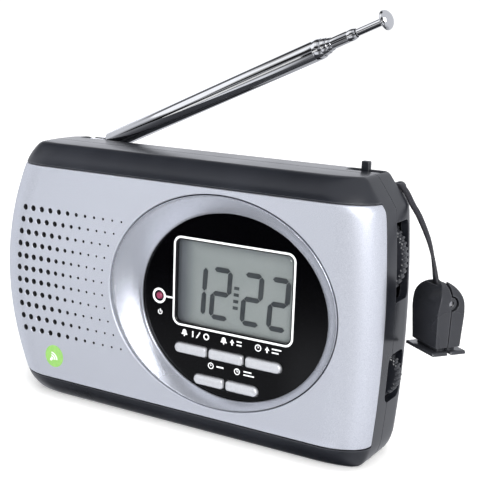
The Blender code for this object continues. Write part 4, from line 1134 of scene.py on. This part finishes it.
def smooth_path(stations, steps):
    """Catmull-Rom curve through the stations."""
    points = [Vector(p) for p in stations]
    points = [points[0] * 2 - points[1]] + points + [points[-1] * 2 - points[-2]]
    path = []
    for k in range(1, len(points) - 2):
        a, b, c, d = points[k - 1:k + 3]
        for i in range(steps):
            t = i / steps
            path.append(0.5 * ((2 * b) + (c - a) * t + (2 * a - 5 * b + 4 * c - d) * t * t
                               + (3 * b - a - 3 * c + d) * t ** 3))
    path.append(points[-2])
    return path


def ribbon(share):
    """Section of the strap in (thickness, width); it narrows by 8 % along its length."""
    w = 1.15 * (1 - 0.08 * share)
    t, edge = 0.45, 0.2
    return [(-t, -w + edge), (-t + 0.06, -w + 0.07), (-t + edge, -w),
            (t - edge, -w), (t - 0.06, -w + 0.07), (t, -w + edge),
            (t, w - edge), (t - 0.06, w - 0.07), (t - edge, w),
            (-t + edge, w), (-t + 0.06, w - 0.07), (-t, w - edge)]


def strap_band():
    """Flat band that twists from the pin's axis to the clip's over its lower part."""
    path = smooth_path(STRAP_POINTS, 9)
    last = len(path) - 1
    rings = []
    for k, point in enumerate(path):
        share = k / last
        along = (path[min(k + 1, last)] - path[max(k - 1, 0)]).normalized()
        twist = max(0.0, share - 0.45) / 0.55 * 0.999
        across = Vector(AXIS_Y).lerp(-clip_axis, twist)
        across = (across - along * across.dot(along)).normalized()
        normal = across.cross(along)
        rings.append([tuple(point + normal * a + across * b) for a, b in ribbon(share)])
    return loft("strap_band", rings)


strap = strap_band()
fuse(strap, pipe("loop", STRAP_PIN, AXIS_Y, 1.6, 0.98, -1.2, 1.2, 40))
fuse(strap, pipe("loop", CLIP_C, clip_axis, 2.0, 1.15, -1.15, 1.15, 40))
place(tidy(strap), "strap", "strap", "strap", sharp=45)

# the clip is modelled about its pin at the origin, with the pin along X, then turned into place
clip_place = Matrix.Translation(CLIP_C * MM) @ Matrix.Rotation(CLIP_TURN, 4, "Z")
CLIP_HALF_W, CLIP_HALF_T, CLIP_TOP, CLIP_LOW = 6.0, 3.9, 4.9, -11.3
CLIP_SLOT = (-2.9, 1.7)


def arch(half, top, low, rise, steps=32):
    points = [(half * 0.9, low)]
    for i in range(steps + 1):
        a = pi * i / steps
        points.append((half * cos(a), top - rise + rise * sin(a)))
    return points + [(-half * 0.9, low)]


def clip_block(name, grow=0.0, drop=0.0):
    """An arch seen from the front crossed with an arch seen from the side."""
    top, low = CLIP_TOP + grow, CLIP_LOW - drop
    block = prism(name, arch(CLIP_HALF_W + grow, top, low, 4.6), -9, 9)
    cross = prism_x("cross", arch(CLIP_HALF_T + grow, top, low, 8.0), -12, 12)
    return combine(block, cross, "INTERSECT")


def wedge(start, end, x0=-12, x1=12):
    """Cutter between two angles in degrees from +Z towards +Y."""
    points = [(0, 0)] + [(12 * sin(radians(a)), 12 * cos(radians(a)))
                         for a in (start, (start + end) / 2, end)]
    return prism_x("wedge", points, x0, x1)


def jaw(name, side, body, node):
    """Half of the clip: side -1 is the front jaw, +1 the rear."""
    def depth(near, far):
        return sorted((side * near, side * far))

    obj = bevel(tidy(clip_block(name)), 0.55, 4, 42)
    cut(obj, clip_block("inside", grow=-1.1, drop=3))
    combine(obj, box("side", (-15, 15), depth(0.15, 12), (-20, 20)), "INTERSECT")
    if side < 0:
        cut(obj, wedge(-1.5, 20), wedge(-25, 20, *CLIP_SLOT))
        cut(obj, rod("clear", (0, 0, 0), AXIS_X, 2.4, *CLIP_SLOT))
        ears, ear_r, web_z = ((4.4, 5.4), (-5.4, -4.4)), 1.6, (-1.3, 0.7)
    else:
        cut(obj, wedge(-20, 9), wedge(-20, 29, *CLIP_SLOT))
        cut(obj, rod("clear", (0, 0, 0), AXIS_X, 2.0, -12, 12))
        ears, ear_r, web_z = ((2.9, 3.9), (-3.9, -2.9)), 1.5, (-1.5, 0.2)
    fuse(obj, *[rod("ear", (0, 0, 0), AXIS_X, ear_r, *ear) for ear in ears])
    fuse(obj, *[box("web", ear, depth(0.8, 3.4), web_z) for ear in ears])
    fuse(obj, bevel(box("neck", (-4.6, 4.6), depth(0.45, 2.6), (-12.4, -10.5)), 0.3, 2))
    fuse(obj, box("grip", (-4.6, 4.6), depth(2.2, 3.4), (-11.4, -9.7)))
    lip = [(-6.4, -13.1), (6.4, -13.1), (6.0, -12.2), (-6.0, -12.2)]
    fuse(obj, bevel(prism("lip", lip, *depth(0.45, 4.9)), 0.25, 2))
    cut(obj, rod("bore", (0, 0, 0), AXIS_X, 0.88, -12, 12, 24))
    tidy(obj)
    obj.data.transform(clip_place)
    place(obj, "clip", body, node, sharp=35)


jaw("clip_jaw_front", -1, "clip", "clip_front_jaw")
jaw("clip_jaw_rear", 1, "clip_rear_jaw", "clip_rear_jaw")


# ================================================================ floor
def floor_pale():
    """Nearly white, and it glows more with distance from the radio."""
    mat = Surface("floor_pale")
    tint = mat.mix(mat.noise(scale=3.0), (0.93, 0.93, 0.93), (0.955, 0.955, 0.955))
    square_x, square_y = (mat.math("POWER", mat.axis(letter), 2.0) for letter in "XY")
    distance = mat.math("SQRT", mat.math("ADD", square_x, square_y))
    glow = mat.ramp(distance, start=0.12, end=0.9, low=0.24, high=0.50)
    return mat.finish(color=tint, rough=0.9, spec=0.1, emit=glow, emit_color=(1.0, 1.0, 1.0))


floor_material = floor_pale()
bpy.ops.mesh.primitive_plane_add(size=30.0, location=(0, 0, -0.0002))
floor = bpy.context.object
floor.name = "floor"
floor.data.materials.append(floor_material)
floor.visible_glossy = False

# ================================================================ surroundings
AMBIENT = 0.62
CAMERA_BOOST = 0.46                         # extra brightness of the background itself
REFLECTION_TINT = (0.965, 0.985, 1.05)
# Patches of the room seen only in reflections. Azimuth is 0 at the front (-Y) and grows to the
# right, elevation is 0 at the horizon, both in degrees. Each is: begins, full, fades, gone.
PATCHES = {
    "ceiling": ((-150.0, -120.0, -74.0, -46.0), (38.0, 50.0, 72.0, 84.0)),
    "wall": ((-50.0, -40.0, -6.0, 26.0), (3.0, 10.0, 26.0, 44.0)),
    "corner": ((-150.0, -128.0, -102.0, -84.0), (14.0, 22.0, 72.0, 84.0)),
    "strip": ((-28.2, -26.4, -25.4, -23.6), (-60.0, -40.0, -19.5, -15.5)),
    "ground": ((-46.0, -34.0, 0.0, 20.0), (-64.0, -48.0, -32.0, -22.0)),
    "behind": ((-174.0, -148.0, -132.0, -116.0), (-4.0, 4.0, 22.0, 34.0)),
}
FRONT_AZIMUTH = (-86.0, -64.0, 22.0, 48.0)
DEEP_ELEVATION = (-19.0, -13.0, 3.0, 12.0)
# how much each area darkens or brightens the reflections
LOW_SHADE, DEEP_SHADE, HIGH_SHADE, CORNER_SHARE = 0.76, 0.235, 0.97, 0.9
BRIGHT = {"strip": 0.22, "ground": 1.0, "behind": 0.9}

world = bpy.data.worlds.new("studio")
scene.world = world
world.use_nodes = True
sky = Shader(world.node_tree, "Generated")


def pulse(value, begins, full, fades, gone):
    return sky.times(sky.ramp(value, begins, full, smooth=True),
                     sky.ramp(value, fades, gone, low=1.0, high=0.0, smooth=True))


degree = 180.0 / pi
azimuth = sky.times(sky.math("ARCTAN2", sky.axis("X"), sky.times(sky.axis("Y"), -1.0)), degree)
elevation = sky.times(sky.math("ARCSINE", sky.axis("Z")), degree)
front = pulse(azimuth, *FRONT_AZIMUTH)
# low front: dim; level front: nearly black; underneath: dim all round, less so on the right
low = sky.times(front, sky.ramp(elevation, start=-6.0, end=12.0, low=1.0, high=0.0, smooth=True))
deep = sky.times(front, pulse(elevation, *DEEP_ELEVATION))
under = sky.times(
    sky.ramp(elevation, start=-56.0, end=-34.0, low=1.0, high=0.0, smooth=True),
    sky.ramp(azimuth, start=0.0, end=30.0, low=1.29, high=0.45, smooth=True))
patch = {name: sky.times(pulse(azimuth, *across), pulse(elevation, *up))
         for name, (across, up) in PATCHES.items()}
ceiling = sky.math("MAXIMUM", patch["ceiling"], sky.times(patch["corner"], CORNER_SHARE))
light = sky.math("SUBTRACT", 1.0, sky.times(sky.math("MAXIMUM", low, under), LOW_SHADE))
light = sky.math("SUBTRACT", light, sky.times(deep, DEEP_SHADE))
high = sky.times(sky.math("MAXIMUM", ceiling, patch["wall"]), HIGH_SHADE)
light = sky.math("MINIMUM", light, sky.math("SUBTRACT", 1.0, high))
for name, gain in BRIGHT.items():
    light = sky.math("ADD", light, sky.times(patch[name], gain))
rays = sky.node("LightPath")
tint = sky.node("CombineColor")
for k, share in enumerate(REFLECTION_TINT):
    sky.put(tint.inputs[k], sky.times(light, share))
colour = sky.mix(rays.outputs["Is Glossy Ray"], (1.0, 1.0, 1.0), tint.outputs[0])
boost = sky.times(rays.outputs["Is Camera Ray"], CAMERA_BOOST)
background = sky.node("Background", Color=colour, Strength=sky.math("ADD", boost, AMBIENT))
sky.link(background.outputs[0], sky.node("OutputWorld").inputs[0])

# ================================================================ lights, metres and watts
VIEWPOINT = Vector((0.155190, -0.241433, 0.112320))


def pose(x_axis, y_axis, z_axis, origin):
    turn = Matrix((x_axis, y_axis, z_axis)).transposed().to_4x4()
    return Matrix.Translation(origin) @ turn


def area(name, size, power, colour=(1, 1, 1), size_y=None):
    data = bpy.data.lights.new(name, "AREA")
    data.energy = power
    data.color = colour
    data.size = size
    if size_y:
        data.shape = "RECTANGLE"
        data.size_y = size_y
    obj = bpy.data.objects.new(name, data)
    scene.collection.objects.link(obj)
    obj.visible_camera = False
    return obj


def aimed(name, at, target, **settings):
    obj = area(name, **settings)
    obj.location = at
    aim = Vector(target) - Vector(at)
    obj.rotation_euler = aim.to_track_quat("-Z", "Y").to_euler()
    return obj


def rod_strip(name, turn, half_angle, radiance, away=0.3):
    """A long reflector beside the antenna that draws a line of even width along the whole
    rod. `turn` and `half_angle` are in degrees, `away` is its distance."""
    spots, rays = [], []
    for station in (5.0, 100.0):
        point = (ANT_PIVOT + ANT_DIR * station) * MM
        view = (point - VIEWPOINT).normalized()
        along = ANT_DIR * view.dot(ANT_DIR)
        facing = (along - view).normalized()
        upward = ANT_DIR.cross(facing)
        upward = upward if upward.z > 0 else -upward
        ray = along + (view - along).length * (
            upward * sin(radians(turn)) + facing * cos(radians(turn)))
        spots.append(point + ray * away)
        rays.append(ray)
    x_axis = (spots[1] - spots[0]).normalized()
    z_axis = rays[0] + rays[1]
    z_axis = (z_axis - x_axis * x_axis.dot(z_axis)).normalized()
    length = (spots[1] - spots[0]).length * 1.75
    width = 2 * tan(radians(half_angle)) * away * 0.87
    obj = area(name, size=length, power=radiance * pi * length * width, size_y=width)
    obj.matrix_world = pose(x_axis, z_axis.cross(x_axis), z_axis, (spots[0] + spots[1]) / 2)
    obj.visible_diffuse = False
    return obj


aimed("key_right", at=(0.38, -0.36, 0.26), target=(0.04, 0.0, 0.04), size=0.30, power=2.6,
      colour=(1.0, 0.995, 0.985), size_y=0.30)
soft = aimed("top_soft", at=(0.05, 0.05, 0.8), target=(0.0, 0.0, 0.03), size=0.9, power=4.0)
soft.visible_glossy = False
fill = aimed("fill_left", at=(-0.10, -0.20, 0.012), target=(-0.01, -0.015, 0.004), size=0.14,
             power=0.34, colour=(0.93, 0.96, 1.0))
fill.visible_glossy = False
glint = aimed("front_glint", at=(-0.12, -0.60, 0.0), target=(-0.01, -0.015, 0.035), size=0.12,
              power=0.62)
glint.visible_diffuse = False
rod_lights = [rod_strip("line_narrow", turn=6.0, half_angle=7.5, radiance=0.75),
              rod_strip("line_broad", turn=72.0, half_angle=27.0, radiance=0.45)]

# the strips light only the antenna, the glint only the dial ring
antenna_only = bpy.data.collections.new("antenna_only")
for obj in list(bpy.data.objects):
    if obj.name.startswith("antenna_") and obj.type == "MESH":
        antenna_only.objects.link(obj)
for strip in rod_lights:
    strip.light_linking.receiver_collection = antenna_only
ring_only = bpy.data.collections.new("ring_only")
ring_only.objects.link(bpy.data.objects["dial_ring_bezel"])
glint.light_linking.receiver_collection = ring_only

# ================================================================ camera
CAMERA_RIGHT = (0.85933684, 0.51030326, 0.03362709)
CAMERA_UP = (-0.13480967, 0.16260628, 0.97743826)
CAMERA_BACK = (0.49332196, -0.84448196, 0.20852738)
camera_data = bpy.data.cameras.new("camera")
camera = bpy.data.objects.new("camera", camera_data)
scene.collection.objects.link(camera)
scene.camera = camera
camera_data.sensor_width = 36.0
camera_data.lens = 78.840525
camera_data.clip_start = 0.01
camera.matrix_world = pose(CAMERA_RIGHT, CAMERA_UP, CAMERA_BACK, VIEWPOINT)

scene.view_settings.view_transform = "Standard"
scene.view_settings.look = "None"
